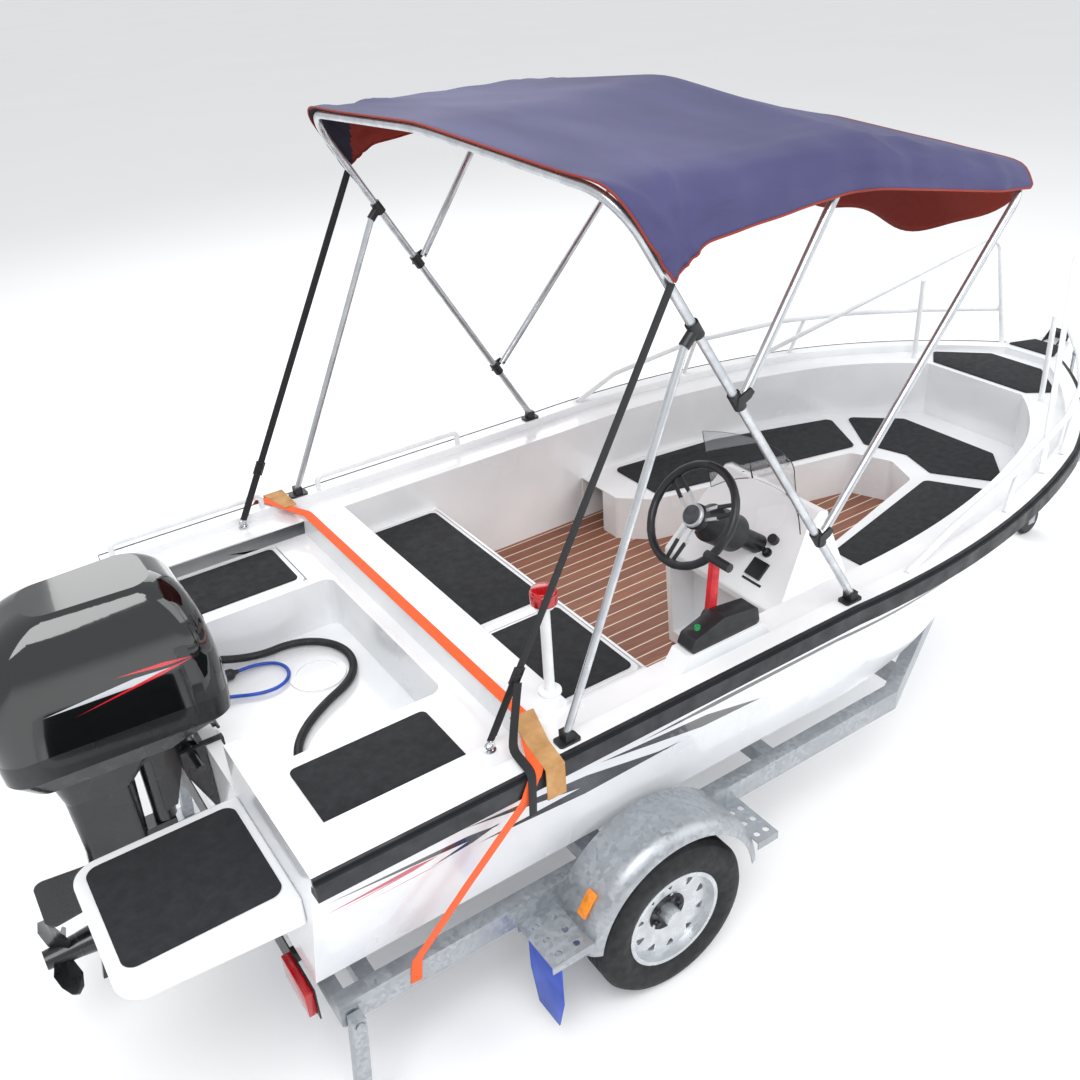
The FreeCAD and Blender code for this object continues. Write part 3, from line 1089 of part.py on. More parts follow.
def build_stands():
    x = RAIL_REAR_X + 35
    low = RAIL_TOP - RAIL_HEIGHT
    for name, side in (("stand_port", 1), ("stand_starboard", -1)):
        y = side * (RAIL_Y + RAIL_WIDTH / 2 + 30)
        half = STAND_LEG / 2
        leg = side_profile([(x - half, low + 48), (x + half, low + 48), (x + half, low + 30), (x - 20, 8),
                            (x - 60, 8)], y - half, y + half)
        inboard, outboard = y - side * 25, y + side * 50
        foot = box(x - 85, x + 5, min(inboard, outboard), max(inboard, outboard), 0, 10)
        bore = rod((x, y - 60, low + 30), (x, y + 60, low + 30), 8.4)
        nodes[name] = fuse([leg, foot]).cut(bore)


def stand_pivots():
    """Side plates and pins on the rails that the prop stands turn on."""
    x = RAIL_REAR_X + 35
    low = RAIL_TOP - RAIL_HEIGHT
    brackets = []
    for side in (1, -1):
        y = side * (RAIL_Y + RAIL_WIDTH / 2)
        pin = rod((x, y, low + 30), (x, y + side * 56, low + 30), 8)
        plate = box(x - 30, x + 30, min(y, y + side * 5), max(y, y + side * 5), low, low + 60)
        cap = rod((x, y + side * 51, low + 30), (x, y + side * 57, low + 30), 14)
        brackets.append(fuse([pin, plate, cap]))
    return brackets


def build_front():
    low = RAIL_TOP - RAIL_HEIGHT
    mid = (low + RAIL_TOP) / 2
    body = box(COUPLING_X - 150, COUPLING_X - 60, -40.5, 40.5, low - 1, RAIL_TOP + 1)
    neck = box(COUPLING_X - 70, COUPLING_X + 4, -30, 30, mid - 22, mid + 26)
    head = Part.makeSphere(42, V(COUPLING_X, 0, mid))
    socket = Part.makeSphere(25.2, V(COUPLING_X, 0, mid - 6))
    mouth = Part.makeCylinder(25.2, 60, V(COUPLING_X, 0, mid - 66), Z_AXIS)
    head = head.cut(box(COUPLING_X - 80, COUPLING_X + 80, -80, 80, mid - 60, mid - 24))
    handle = side_profile([(COUPLING_X - 60, mid + 26), (COUPLING_X - 10, mid + 58), (COUPLING_X - 130, mid + 72),
                           (COUPLING_X - 140, mid + 60)], -12, 12)
    beam = box(0, COUPLING_X - 60, -40, 40, low, RAIL_TOP)
    coupling = fuse([body, neck, head, handle]).cut(socket).cut(mouth).cut(beam)
    nodes["coupling"] = coupling

    post_top = SHEER_Z - 250
    post = side_profile([(WINCH_X + 60, RAIL_TOP), (WINCH_X + 120, RAIL_TOP), (WINCH_X + 50, post_top),
                         (WINCH_X, post_top)], -25, 25)
    base = box(WINCH_X + 20, WINCH_X + 160, -40, 40, RAIL_TOP, RAIL_TOP + 8)
    plate = box(WINCH_X - 10, WINCH_X + 130, -60, 60, post_top, post_top + 6)
    cheeks = [box(WINCH_X + 10, WINCH_X + 120, y, y + 4, post_top + 6, post_top + 86) for y in (-60, 56)]
    stem_x = plan_point(BOW_CURVE[-1], STOP_Z, 0)[0]
    stop = (stem_x + 30, STOP_Z)
    arm = rounded_side([(stop[0], stop[1] - 14), (stop[0], stop[1] + 14), (WINCH_X + 10, post_top),
                        (WINCH_X + 30, post_top - 50)], 5, -14, 14)
    nodes["winch_post"] = fuse([post, base, plate, arm] + cheeks)
    stops = [rod((stop[0], y, stop[1]), (stop[0], y + 44, stop[1]), 28) for y in (-60.0, 16.0)]
    pin = rod((stop[0], -64, stop[1]), (stop[0], 64, stop[1]), 8)
    nodes["bow_roller"] = Part.makeCompound([nodes["bow_roller"], fuse(stops + [pin]).cut(nodes["winch_post"])])
    axle_x, axle_z = WINCH_X + 65, post_top + 46
    drum = [rod((axle_x, -45, axle_z), (axle_x, 45, axle_z), 26),
            rod((axle_x, -50, axle_z), (axle_x, -45, axle_z), 36),
            rod((axle_x, 45, axle_z), (axle_x, 50, axle_z), 36),
            rod((axle_x, -110, axle_z), (axle_x, 62, axle_z), 9),
            box(axle_x - 9, axle_x + 9, -112, -104, axle_z - 8, axle_z + 190),
            rod((axle_x, -190, axle_z + 178), (axle_x, -104, axle_z + 178), 13)]
    nodes["winch_drum"] = fuse(drum)
    nodes["winch_post"] = nodes["winch_post"].cut(rod((axle_x, -70, axle_z), (axle_x, 70, axle_z), 9.4))

    x, y = JOCKEY_X, JOCKEY_Y
    tube_top = RAIL_TOP + 200
    clamp = fuse([box(x - 35, x + 35, 40, y - 10, low + 5, RAIL_TOP - 5),
                  tube((x, y, low - 5), (x, y, RAIL_TOP + 5), 38, 30)])
    outer_tube = rod((x, y, 260), (x, y, tube_top), 30)
    crank = [rod((x, y, tube_top), (x, y, tube_top + 30), 12),
             rod((x, y, tube_top + 24), (x - 130, y, tube_top + 24), 8),
             rod((x - 122, y, tube_top + 24), (x - 122, y, tube_top + 110), 12)]
    nodes["jockey_leg"] = fuse([clamp, outer_tube] + crank)
    wheel_z, trail = JOCKEY_RADIUS, 45.0
    stem = rod((x, y, 200), (x, y, 259.7), 22)
    yoke = fuse([box(x - 75, x + 25, y - 38, y + 38, 188, 200),
                 box(x - 70, x - 20, y - 38, y - 33, wheel_z - 15, 190),
                 box(x - 70, x - 20, y + 33, y + 38, wheel_z - 15, 190),
                 rod((x - trail, y - 38, wheel_z), (x - trail, y + 38, wheel_z), 8)])
    nodes["jockey_fork"] = fuse([stem, yoke])
    wheel = Part.makeCylinder(JOCKEY_RADIUS, 50, V(x - trail, y - 25, wheel_z), Y_AXIS)
    wheel = wheel.makeFillet(12, [e for e in wheel.Edges if e.Length > 400 and len(e.Vertexes) == 1])
    nodes["jockey_wheel"] = wheel.cut(rod((x - trail, y - 40, wheel_z), (x - trail, y + 40, wheel_z), 8.4))


def build_lamps(markers):
    low = RAIL_TOP - RAIL_HEIGHT
    board = box(RAIL_REAR_X - 34, RAIL_REAR_X - 30, -700, 700, low - 30, low + 90)
    arms = [box(RAIL_REAR_X - 30, RAIL_REAR_X, y - 15, y + 15, low + 10, low + 50) for y in (-500, 500)]
    nodes["light_board"] = fuse([board] + arms)
    lamps = [box(RAIL_REAR_X - 60, RAIL_REAR_X - 34, min(y, y + s * 170), max(y, y + s * 170), low - 15, low + 75)
             for y, s in ((-690, 1), (690, -1))]
    nodes["lamps"] = Part.makeCompound(lamps + [markers])


hull_inside = build_hull()
build_aft_deck(hull_inside)
build_bench()
build_lids()
build_console()
build_bow_seat(hull_inside)
build_pads()
build_platforms()
build_helm()
build_remote_control()
build_warning_light()
build_rails()
build_canopy_frame()
build_canopy()
build_straps()
build_motor()
build_hoses()
build_trailer_frame()
build_axle()
build_wheels()
side_markers = build_guards()
build_stands()
build_front()
build_lamps(side_markers)

CORDS = ("control_hose", "fuel_hose", "primer_bulb")
bounds = FreeCAD.BoundBox()
for name, shape in nodes.items():
    if name not in CORDS:
        bounds.add(shape.optimalBoundingBox(False))
shift = V(-(bounds.XMin + bounds.XMax) / 2, -(bounds.YMin + bounds.YMax) / 2, -bounds.ZMin)
print("moved by", [round(v, 3) for v in shift])
print("box", [round(v, 2) for v in (bounds.XMin, bounds.XMax, bounds.YMin, bounds.YMax, bounds.ZMin, bounds.ZMax)])

os.makedirs("parts", exist_ok=True)
for name, shape in nodes.items():
    if not shape.isValid():
        print("not valid:", name)
    shape = shape.copy()
    shape.translate(shift)
    shape.exportStep("parts/" + name + ".step")
print(len(nodes), "pieces")
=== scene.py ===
"""Looks of the aluminium boat on its trailer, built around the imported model.

Metres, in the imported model's frame: +X to the bow, +Y to port, +Z up.
"""
import bpy
import bmesh
import math
import numpy as np
from mathutils import Matrix, Vector


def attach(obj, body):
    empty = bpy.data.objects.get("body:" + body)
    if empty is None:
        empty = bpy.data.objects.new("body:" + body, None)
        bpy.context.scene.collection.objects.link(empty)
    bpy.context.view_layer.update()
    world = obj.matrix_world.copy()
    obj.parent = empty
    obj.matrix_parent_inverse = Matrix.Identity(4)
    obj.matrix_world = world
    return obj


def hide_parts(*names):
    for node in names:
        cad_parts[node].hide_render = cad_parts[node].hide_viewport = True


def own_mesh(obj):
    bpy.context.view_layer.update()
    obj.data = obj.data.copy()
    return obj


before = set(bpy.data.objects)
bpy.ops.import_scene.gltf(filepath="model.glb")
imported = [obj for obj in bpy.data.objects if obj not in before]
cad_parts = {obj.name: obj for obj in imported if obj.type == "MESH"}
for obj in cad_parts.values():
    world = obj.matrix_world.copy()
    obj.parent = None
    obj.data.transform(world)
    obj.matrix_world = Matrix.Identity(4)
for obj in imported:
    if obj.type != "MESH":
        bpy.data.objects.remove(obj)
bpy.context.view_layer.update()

MM = 0.001
# the part's own X = 0 is the transom, this far behind the middle of the footprint
TRANSOM_X = -2.121


# colours and nodes

def colour(code):
    """Linear colour with alpha from an sRGB hex code."""
    channels = [int(code[i:i + 2], 16) / 255 for i in (0, 2, 4)]
    return tuple(c / 12.92 if c <= 0.04045 else ((c + 0.055) / 1.055) ** 2.4 for c in channels) + (1.0,)


def add(mat, kind, inputs=None, **settings):
    """New shader node; each input is a number, a colour or another node's socket."""
    made = mat.node_tree.nodes.new("ShaderNode" + kind)
    for key, value in settings.items():
        setattr(made, key, value)
    for key, value in (inputs or {}).items():
        if isinstance(value, bpy.types.NodeSocket):
            mat.node_tree.links.new(value, made.inputs[key])
        else:
            made.inputs[key].default_value = value
    return made


def math_node(mat, operation, first, second=0.0, clamp=False):
    return add(mat, "Math", {0: first, 1: second}, operation=operation, use_clamp=clamp).outputs[0]


def ramp(mat, value, low, high, to_low=0.0, to_high=1.0):
    return add(mat, "MapRange", {"Value": value, "From Min": low, "From Max": high,
                                 "To Min": to_low, "To Max": to_high}).outputs[0]


def mix(mat, share, first, second):
    """Colour between two colours, by a share."""
    made = add(mat, "Mix", data_type="RGBA")
    for key, value in ((0, share), (6, first), (7, second)):
        if isinstance(value, bpy.types.NodeSocket):
            mat.node_tree.links.new(value, made.inputs[key])
        else:
            made.inputs[key].default_value = value
    return made.outputs[2]


def noise(mat, size, detail=3.0, stretch=(1, 1, 1), roughness=0.5):
    """Noise whose grain is about the given size in metres; stretch lengthens it along an axis."""
    place = add(mat, "TexCoord").outputs["Object"]
    scaled = add(mat, "Mapping", {"Vector": place, "Scale": tuple(1 / (size * s) for s in stretch)}).outputs[0]
    return add(mat, "TexNoise", {"Vector": scaled, "Scale": 1.0, "Detail": detail, "Roughness": roughness}).outputs[0]


def bump(mat, height, distance, strength=1.0, normal=None):
    inputs = {"Height": height, "Distance": distance, "Strength": strength}
    if normal is not None:
        inputs["Normal"] = normal
    return add(mat, "Bump", inputs).outputs[0]


def shader(mat, **inputs):
    """Sets the Principled shader's sockets, by names with underscores for spaces."""
    made = mat.node_tree.nodes["Principled BSDF"]
    for key, value in inputs.items():
        socket = made.inputs[key.replace("_", " ")]
        if isinstance(value, bpy.types.NodeSocket):
            mat.node_tree.links.new(value, socket)
        else:
            socket.default_value = value
    return made


def new_material(name):
    mat = bpy.data.materials.new(name)
    mat.use_nodes = True
    return mat


def surface(name, light, dark, rough, patch, grain, relief, rough_spread=0.06, **inputs):
    """Plain material: two tones in patches, a fine grain in relief, and uneven gloss.

    patch and grain are sizes in metres, relief is the grain's height.
    """
    mat = new_material(name)
    wide = noise(mat, patch)
    fine = noise(mat, grain, 4.0)
    tone = mix(mat, ramp(mat, wide, 0.3, 0.7), colour(dark), colour(light))
    shader(mat, Base_Color=tone, Roughness=ramp(mat, wide, 0.3, 0.7, rough + rough_spread, rough - rough_spread),
           Normal=bump(mat, fine, relief), **inputs)
    return mat


# sprayed and polished white gelcoat over the plate, with faint dust in patches
WHITE = surface("gelcoat_white", "F3F4F5", "E4E6E9", 0.22, 0.35, 0.02, 0.15 * MM, 0.08, Coat_Weight=0.5)
# closed-cell foam grip pads, charcoal, with a fine brushed grain
FOAM = surface("eva_foam_charcoal", "232529", "1D1F22", 0.88, 0.03, 0.0022, 0.35 * MM)
# extruded black rubber with light scuffs
RUBBER = surface("rubber_extrusion", "25272C", "17191D", 0.52, 0.06, 0.004, 0.2 * MM, 0.12)
# injection-moulded black nylon
NYLON = surface("nylon_black", "202226", "141518", 0.42, 0.03, 0.0015, 0.15 * MM)
# white powder-coated aluminium tube
POWDER = surface("powder_coat_white", "EFF1F2", "DFE2E4", 0.3, 0.08, 0.0015, 0.05 * MM)
# satin anodised aluminium tube, drawn along its length
ANODISED = surface("aluminium_anodised", "D4D7DA", "B9BDC2", 0.32, 0.05, 0.0012, 0.03 * MM, 0.08, Metallic=0.9)
# kraft corrugated card, creased
CARD = surface("card_kraft", "C59A66", "A97C4B", 0.85, 0.05, 0.006, 0.9 * MM)
# clear red polycarbonate lens
RED_LENS = surface("polycarbonate_red", "E0101C", "B90812", 0.16, 0.02, 0.004, 0.2 * MM, 0.05,
                   Transmission_Weight=0.35, Coat_Weight=0.6)
AMBER_LENS = surface("polycarbonate_amber", "FF9A12", "D87406", 0.18, 0.02, 0.004, 0.2 * MM, 0.05, Coat_Weight=0.5)
# satin black marine paint on cast aluminium
MOTOR_PAINT = surface("marine_paint_black", "17181B", "0C0D0F", 0.3, 0.08, 0.003, 0.12 * MM, 0.1, Coat_Weight=0.4)
# gloss black paint on the moulded cowl
GLOSS = surface("cowl_gloss_black", "0B0C0E", "060708", 0.08, 0.2, 0.03, 0.08 * MM, 0.03, Coat_Weight=1.0)
BLUE_HOSE = surface("hose_blue", "1F55C4", "16409A", 0.4, 0.03, 0.002, 0.1 * MM)
BLUE_FLAP = surface("polyethylene_blue", "1A4FCB", "1340A8", 0.45, 0.12, 0.004, 0.3 * MM)
TYRE = surface("tyre_rubber", "1C1D20", "111214", 0.72, 0.03, 0.002, 0.3 * MM, 0.08)
SILVER = surface("wheel_silver_paint", "D5D8DB", "BFC3C7", 0.3, 0.05, 0.0015, 0.04 * MM, 0.06, Metallic=0.7)
CARPET = surface("bunk_carpet", "3A3C3E", "232527", 0.95, 0.02, 0.0025, 1.2 * MM, Sheen_Weight=0.1)
CAST = surface("cast_alloy_dark", "3B3D41", "26282B", 0.4, 0.04, 0.002, 0.1 * MM, 0.08, Metallic=0.6)


def galvanised():
    """Hot-dip zinc: crystals a centimetre or so across, with dull streaks."""
    mat = new_material("galvanised_steel")
    place = add(mat, "TexCoord").outputs["Object"]
    crystals = add(mat, "TexVoronoi", {"Vector": place, "Scale": 1 / (14 * MM), "Randomness": 1.0})
    shade = add(mat, "SeparateColor", {"Color": crystals.outputs["Color"]}).outputs[0]
    wide = noise(mat, 0.16, 4.0)
    tone = mix(mat, ramp(mat, shade, 0.0, 1.0, 0.25, 0.75), colour("8D9298"), colour("C6CACE"))
    worn = mix(mat, ramp(mat, wide, 0.45, 0.75), tone, colour("A3A7AB"))
    shader(mat, Base_Color=worn, Metallic=0.85, Roughness=ramp(mat, shade, 0.0, 1.0, 0.34, 0.52),
           Normal=bump(mat, noise(mat, 0.012, 4.0), 0.25 * MM))
    return mat


ZINC = galvanised()


def teak_decking():
    """Brown planks laid fore and aft, with cream caulk between them."""
    mat = new_material("teak_look_decking")
    pitch, caulk = 56 * MM, 5 * MM
    place = add(mat, "TexCoord").outputs["Object"]
    across = add(mat, "SeparateXYZ", {"Vector": place}).outputs["Y"]
    turns = math_node(mat, "DIVIDE", across, pitch)
    number = math_node(mat, "FLOOR", turns)
    within = math_node(mat, "SUBTRACT", turns, number)
    from_middle = math_node(mat, "ABSOLUTE", math_node(mat, "SUBTRACT", within, 0.5))
    line = ramp(mat, from_middle, 0.5 - caulk / pitch / 2 - 0.01, 0.5 - caulk / pitch / 2)
    shade = add(mat, "TexWhiteNoise", {"W": number}, noise_dimensions="1D").outputs["Value"]
    grain = noise(mat, 0.006, 5.0, (14, 1, 1))
    wide = noise(mat, 0.2, 2.0)
    wood = mix(mat, ramp(mat, shade, 0.0, 1.0, 0.2, 0.8), colour("80503F"), colour("A56F55"))
    wood = mix(mat, ramp(mat, grain, 0.4, 0.75, 0.0, 0.55), wood, colour("6A4033"))
    wood = mix(mat, ramp(mat, wide, 0.4, 0.7, 0.0, 0.35), wood, colour("8F6550"))
    whole = mix(mat, line, wood, colour("E5D9C4"))
    relief = math_node(mat, "SUBTRACT", math_node(mat, "MULTIPLY", grain, 0.3), line)
    shader(mat, Base_Color=whole, Roughness=ramp(mat, grain, 0.3, 0.7, 0.5, 0.66), Normal=bump(mat, relief, 0.6 * MM))
    return mat


TEAK = teak_decking()

# hull stripes, in the part's own places: start x, start z, end x, end z, widest, its share of the length, colour
BLACK, CRIMSON, SILVER_INK = 0, 1, 2
STRIPES = [
    (0.86, 1.012, 1.52, 0.892, 0.062, 0.62, BLACK),
    (1.00, 1.010, 3.60, 1.010, 0.026, 0.11, BLACK),
    (0.47, 0.915, 1.21, 0.886, 0.050, 0.50, BLACK),
    (0.42, 1.034, 1.16, 0.880, 0.058, 0.55, BLACK),
    (0.02, 1.012, 0.55, 0.958, 0.030, 0.80, BLACK),
    (0.33, 0.918, 0.55, 0.968, 0.026, 0.60, BLACK),
    (0.02, 0.958, 0.36, 0.962, 0.026, 0.75, CRIMSON),
    (0.02, 0.940, 0.30, 0.950, 0.006, 0.70, CRIMSON),
    (0.10, 0.915, 0.42, 0.912, 0.005, 0.60, CRIMSON),
    (1.70, 0.982, 3.55, 0.975, 0.007, 0.60, CRIMSON),
    (1.78, 0.966, 3.52, 0.945, 0.009, 0.60, CRIMSON),
    (1.86, 0.950, 3.45, 0.915, 0.007, 0.60, CRIMSON),
]


def spears(mat, rows, paints):
    """Paints tapering bands that lie along X on a side face, over the material's own colour."""
    shade = mat.node_tree.nodes["Principled BSDF"].inputs["Base Color"].links[0].from_socket
    place = add(mat, "SeparateXYZ", {"Vector": add(mat, "TexCoord").outputs["Object"]})
    x, z = place.outputs["X"], place.outputs["Z"]
    masks = {}
    for x0, z0, x1, z1, width, peak, paint in rows:
        x0, x1 = x0 + TRANSOM_X, x1 + TRANSOM_X
        knee = x0 + (x1 - x0) * peak
        slope = (z1 - z0) / (x1 - x0)
        line = add(mat, "Math", {0: x, 1: slope, 2: z0 - x0 * slope}, operation="MULTIPLY_ADD").outputs[0]
        off = math_node(mat, "ABSOLUTE", math_node(mat, "SUBTRACT", z, line))
        rise = add(mat, "MapRange", {"Value": x, "From Min": x0, "From Max": knee, "To Min": 0.0,
                                     "To Max": width / 2}, clamp=False).outputs[0]
        fall = add(mat, "MapRange", {"Value": x, "From Min": knee, "From Max": x1, "To Min": width / 2,
                                     "To Max": 0.0}, clamp=False).outputs[0]
        inside = math_node(mat, "SUBTRACT", math_node(mat, "MINIMUM", rise, fall), off)
        mask = math_node(mat, "MULTIPLY", inside, 1 / (1 * MM), clamp=True)
        masks[paint] = math_node(mat, "MAXIMUM", masks[paint], mask) if paint in masks else mask
    for paint, code in paints.items():
        shade = mix(mat, masks[paint], shade, colour(code))
    shader(mat, Base_Color=shade)
    return mat


# vinyl stripes on the hull's white side
STRIPED = spears(surface("gelcoat_striped", "F1F2F4", "E2E4E8", 0.22, 0.35, 0.02, 0.15 * MM, 0.08, Coat_Weight=0.5),
                 STRIPES, {CRIMSON: "C3324C", BLACK: "1A1B21"})


def clear_screen():
    """Clear acrylic sheet, faintly grey."""
    mat = new_material("acrylic_clear")
    haze = noise(mat, 0.05, 3.0)
    shader(mat, Base_Color=colour("F4F8FA"), Roughness=ramp(mat, haze, 0.4, 0.7, 0.02, 0.07), Transmission_Weight=1.0,
           IOR=1.06, Alpha=0.35)
    return mat


ACRYLIC = clear_screen()


def canvas(name, light, dark):
    """Coated woven cloth: a plain weave drawn coarse enough to show, with faint broad fading."""
    mat = new_material(name)
    place = add(mat, "TexCoord").outputs["Object"]
    # bands along one axis repeat every pi / 10 / Scale metres, so these threads are 2.4 mm apart
    scale = math.pi / 10 / (2.4 * MM)
    threads = [add(mat, "TexWave", {"Vector": place, "Scale": scale, "Distortion": 0.4},
                   bands_direction=axis).outputs[1] for axis in "XY"]
    weave = math_node(mat, "MULTIPLY", *threads)
    wide = noise(mat, 0.3, 3.0, (1, 2.5, 1))
    tone = mix(mat, ramp(mat, wide, 0.35, 0.7), colour(dark), colour(light))
    tone = mix(mat, math_node(mat, "MULTIPLY", weave, 0.22), tone, colour(light))
    shader(mat, Base_Color=tone, Roughness=ramp(mat, wide, 0.3, 0.7, 0.8, 0.7), Sheen_Weight=0.05,
           Normal=bump(mat, weave, 0.3 * MM, 0.5))
    return mat


NAVY = canvas("canopy_cloth_navy", "454470", "36355E")
# darker copy of the navy cloth: painted shade for the lining's inside at the rear side corners, under the canopy
NAVY_PAINTED_SHADE = canvas("canopy_corner_painted_shade", "26263C", "1C1C30")
RED_BROWN = canvas("canopy_lining_red_brown", "97301D", "7A2014")


def webbing(name, light, dark):
    """Woven polyester strap: a twill of ribs across its width."""
    mat = new_material(name)
    place = add(mat, "TexCoord").outputs["Object"]
    # diagonal bands repeat every pi / 5 / Scale metres along each axis
    scale = math.pi / 5 / (6.0 * MM)
    ribs = add(mat, "TexWave", {"Vector": place, "Scale": scale, "Distortion": 0.6},
               bands_direction="DIAGONAL").outputs[1]
    tone = mix(mat, ramp(mat, ribs, 0.2, 0.9), colour(dark), colour(light))
    shader(mat, Base_Color=tone, Roughness=ramp(mat, ribs, 0.0, 1.0, 0.82, 0.66), Sheen_Weight=0.05,
           Normal=bump(mat, ribs, 0.5 * MM, 0.7))
    return mat


WEBBING = webbing("webbing_black", "202126", "0F1013")
ORANGE = webbing("webbing_orange", "FF6E2C", "E24A14")

# air-dry black hose with moulded rings
HOSE = surface("corrugated_hose_black", "1B1C1F", "0E0F11", 0.5, 0.05, 0.003, 0.15 * MM, 0.1)
GREEN = surface("button_green", "1FA05A", "14803F", 0.35, 0.01, 0.002, 0.05 * MM)
RED_LEVER = surface("lever_red_plastic", "D3202A", "A8141C", 0.35, 0.02, 0.002, 0.05 * MM)
CHROME = surface("polished_steel", "DADCDF", "B4B8BD", 0.16, 0.03, 0.001, 0.02 * MM, 0.05, Metallic=1.0)
HUB_GREY = surface("hub_cap_grey", "47494E", "333539", 0.38, 0.02, 0.001, 0.04 * MM)

# the cowl's swoosh, in the same columns as the hull's stripes
COWL_INK = [
    (-0.390, 1.345, -0.020, 1.366, 0.024, 0.66, SILVER_INK),
    (-0.200, 1.390, 0.022, 1.377, 0.013, 0.60, CRIMSON),
    (-0.320, 1.314, 0.022, 1.376, 0.012, 0.70, CRIMSON),
]
GLOSS = spears(GLOSS, COWL_INK, {SILVER_INK: "C4C7CC", CRIMSON: "D3202E"})

FINISH = {
    STRIPED: ["hull_shell"],
    WHITE: ["deck_liner", "aft_deck", "bench", "bow_seat", "swim_platforms", "console", "bench_lid_port",
            "bench_lid_starboard", "stern_locker_lid"],
    TEAK: ["cockpit_floor"],
    FOAM: ["deck_pads"],
    RUBBER: ["rub_rail", "primer_bulb", "bow_roller"],
    ACRYLIC: ["windscreen"],
    NYLON: ["canopy_knuckles", "dash_controls", "remote_control", "steering_wheel", "control_hose", "light_board"],
    POWDER: ["deck_rails", "warning_light"],
    ANODISED: ["canopy_main_bow", "canopy_mid_bow", "canopy_front_bow", "canopy_rear_poles"],
    NAVY: ["canopy"],
    WEBBING: ["canopy_straps"],
    ORANGE: ["tie_down_strap"],
    CARD: ["edge_cards"],
    RED_LENS: ["lamps"],
    MOTOR_PAINT: ["motor_leg", "gearcase", "swivel_bracket", "clamp_bracket", "cowl_pan", "propeller"],
    CAST: ["engine_block"],
    GLOSS: ["cowl_cover"],
    BLUE_HOSE: ["fuel_hose"],
    BLUE_FLAP: ["mud_flaps"],
    ZINC: ["trailer_frame", "axle", "leaf_springs", "mudguards", "coupling", "winch_post", "winch_drum", "jockey_leg",
           "jockey_fork", "stand_port", "stand_starboard"],
    TYRE: ["tyre_port", "tyre_starboard", "jockey_wheel"],
    SILVER: ["rim_port", "rim_starboard"],
    CARPET: ["bunks"],
}
for finish, names in FINISH.items():
    for name in names:
        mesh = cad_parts[name].data
        mesh.materials.clear()
        mesh.materials.append(finish)


# helpers for new pieces

ROOT = "boat_and_trailer"


def part_point(x, y, z):
    """Point given in the part's own millimetres, from the transom, as metres in the frame."""
    return Vector((x * MM + TRANSOM_X, y * MM, z * MM))


def place_piece(name, mesh, finishes, body, *nodes):
    """Links a finished mesh as a piece that rides on a body and stands for its nodes."""
    for finish in finishes:
        mesh.materials.append(finish)
    made = bpy.data.objects.new(name, mesh)
    bpy.context.scene.collection.objects.link(made)
    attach(made, body)
    if nodes:
        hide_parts(*nodes)
    return made


def smooth(obj, degrees=35):
    bpy.ops.object.select_all(action="DESELECT")
    obj.select_set(True)
    bpy.context.view_layer.objects.active = obj
    bpy.ops.object.shade_smooth_by_angle(angle=math.radians(degrees))


def apply_modifier(obj, kind, **settings):
    bpy.ops.object.select_all(action="DESELECT")
    obj.select_set(True)
    bpy.context.view_layer.objects.active = obj
    modifier = obj.modifiers.new(kind.lower(), kind)
    for key, value in settings.items():
        setattr(modifier, key, value)
    bpy.ops.object.modifier_apply(modifier=modifier.name)


def restyle(name, node, body, finishes, pick, bevel=0.0, segments=2):
    """Copy of a rigid node with a finish picked for each face, and its sharp edges rounded."""
    shape = bmesh.new()
    shape.from_mesh(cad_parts[node].data)
    bmesh.ops.remove_doubles(shape, verts=shape.verts, dist=0.02 * MM)
    bmesh.ops.dissolve_limit(shape, angle_limit=math.radians(1.5), verts=shape.verts, edges=shape.edges)
    for face in shape.faces:
        face.material_index = pick(face)
    mesh = bpy.data.meshes.new(name)
    shape.to_mesh(mesh)
    shape.free()
    made = place_piece(name, mesh, finishes, body, node)
    if bevel:
        apply_modifier(made, "BEVEL", width=bevel, segments=segments, limit_method="ANGLE",
                       angle_limit=math.radians(40), use_clamp_overlap=True)
    smooth(made)
    return made


def above(height):
    """1 for a face whose middle is above a height in millimetres."""
    return lambda face: int(face.calc_center_median().z > height * MM)


def plain(face):
    return 0


# grip pads and lids: closed-cell foam glued on white lids, with rounded edges
restyle("grip_pads", "deck_pads", ROOT, [FOAM], plain, 2.5 * MM)
# a lid's node has its body's name; the height is just over the lid's own top, where its pad begins
for name, lid, pad_from in (("stern_lid_with_pad", "stern_locker_lid", 1085.05),
                            ("port_lid_with_pad", "bench_lid_port", 1000.05),
                            ("starboard_lid_with_pad", "bench_lid_starboard", 1000.05)):
    restyle(name, lid, lid, [WHITE, FOAM], above(pad_from), 2.5 * MM)
restyle("bunk_covers", "bunks", ROOT, [CARPET], plain, 6 * MM)
restyle("platform_pair", "swim_platforms", ROOT, [WHITE], plain, 9 * MM, 3)
restyle("flaps", "mud_flaps", ROOT, [BLUE_FLAP], plain, 1.2 * MM)

# all-round light: white pole and cup, red lens and dome
restyle("stern_light", "warning_light", ROOT, [POWDER, RED_LENS], above(1467), 2.0 * MM)


def lamp_finish(face):
    """Red at the stern board, amber on the mudguards."""
    return int(face.calc_center_median().x > TRANSOM_X + 0.4)


restyle("rear_lamps_and_markers", "lamps", ROOT, [RED_LENS, AMBER_LENS], lamp_finish, 2.0 * MM)


def remote_finish(face):
    """Black housing and handle, red face to the lever, green button."""
    middle = face.calc_center_median()
    x, y, z = (middle.x - TRANSOM_X) / MM, middle.y / MM, middle.z / MM
    if math.hypot(x - 1275, y + 800) < 10 and z > 1226 and face.calc_area() < 4e-4:
        return 2
    if 1340 < x < 1392 and -767 < y < -745 and 1262 < z < 1404:
        return 1
    return 0


restyle("throttle_control", "remote_control", ROOT, [NYLON, RED_LEVER, GREEN], remote_finish, 3.0 * MM)


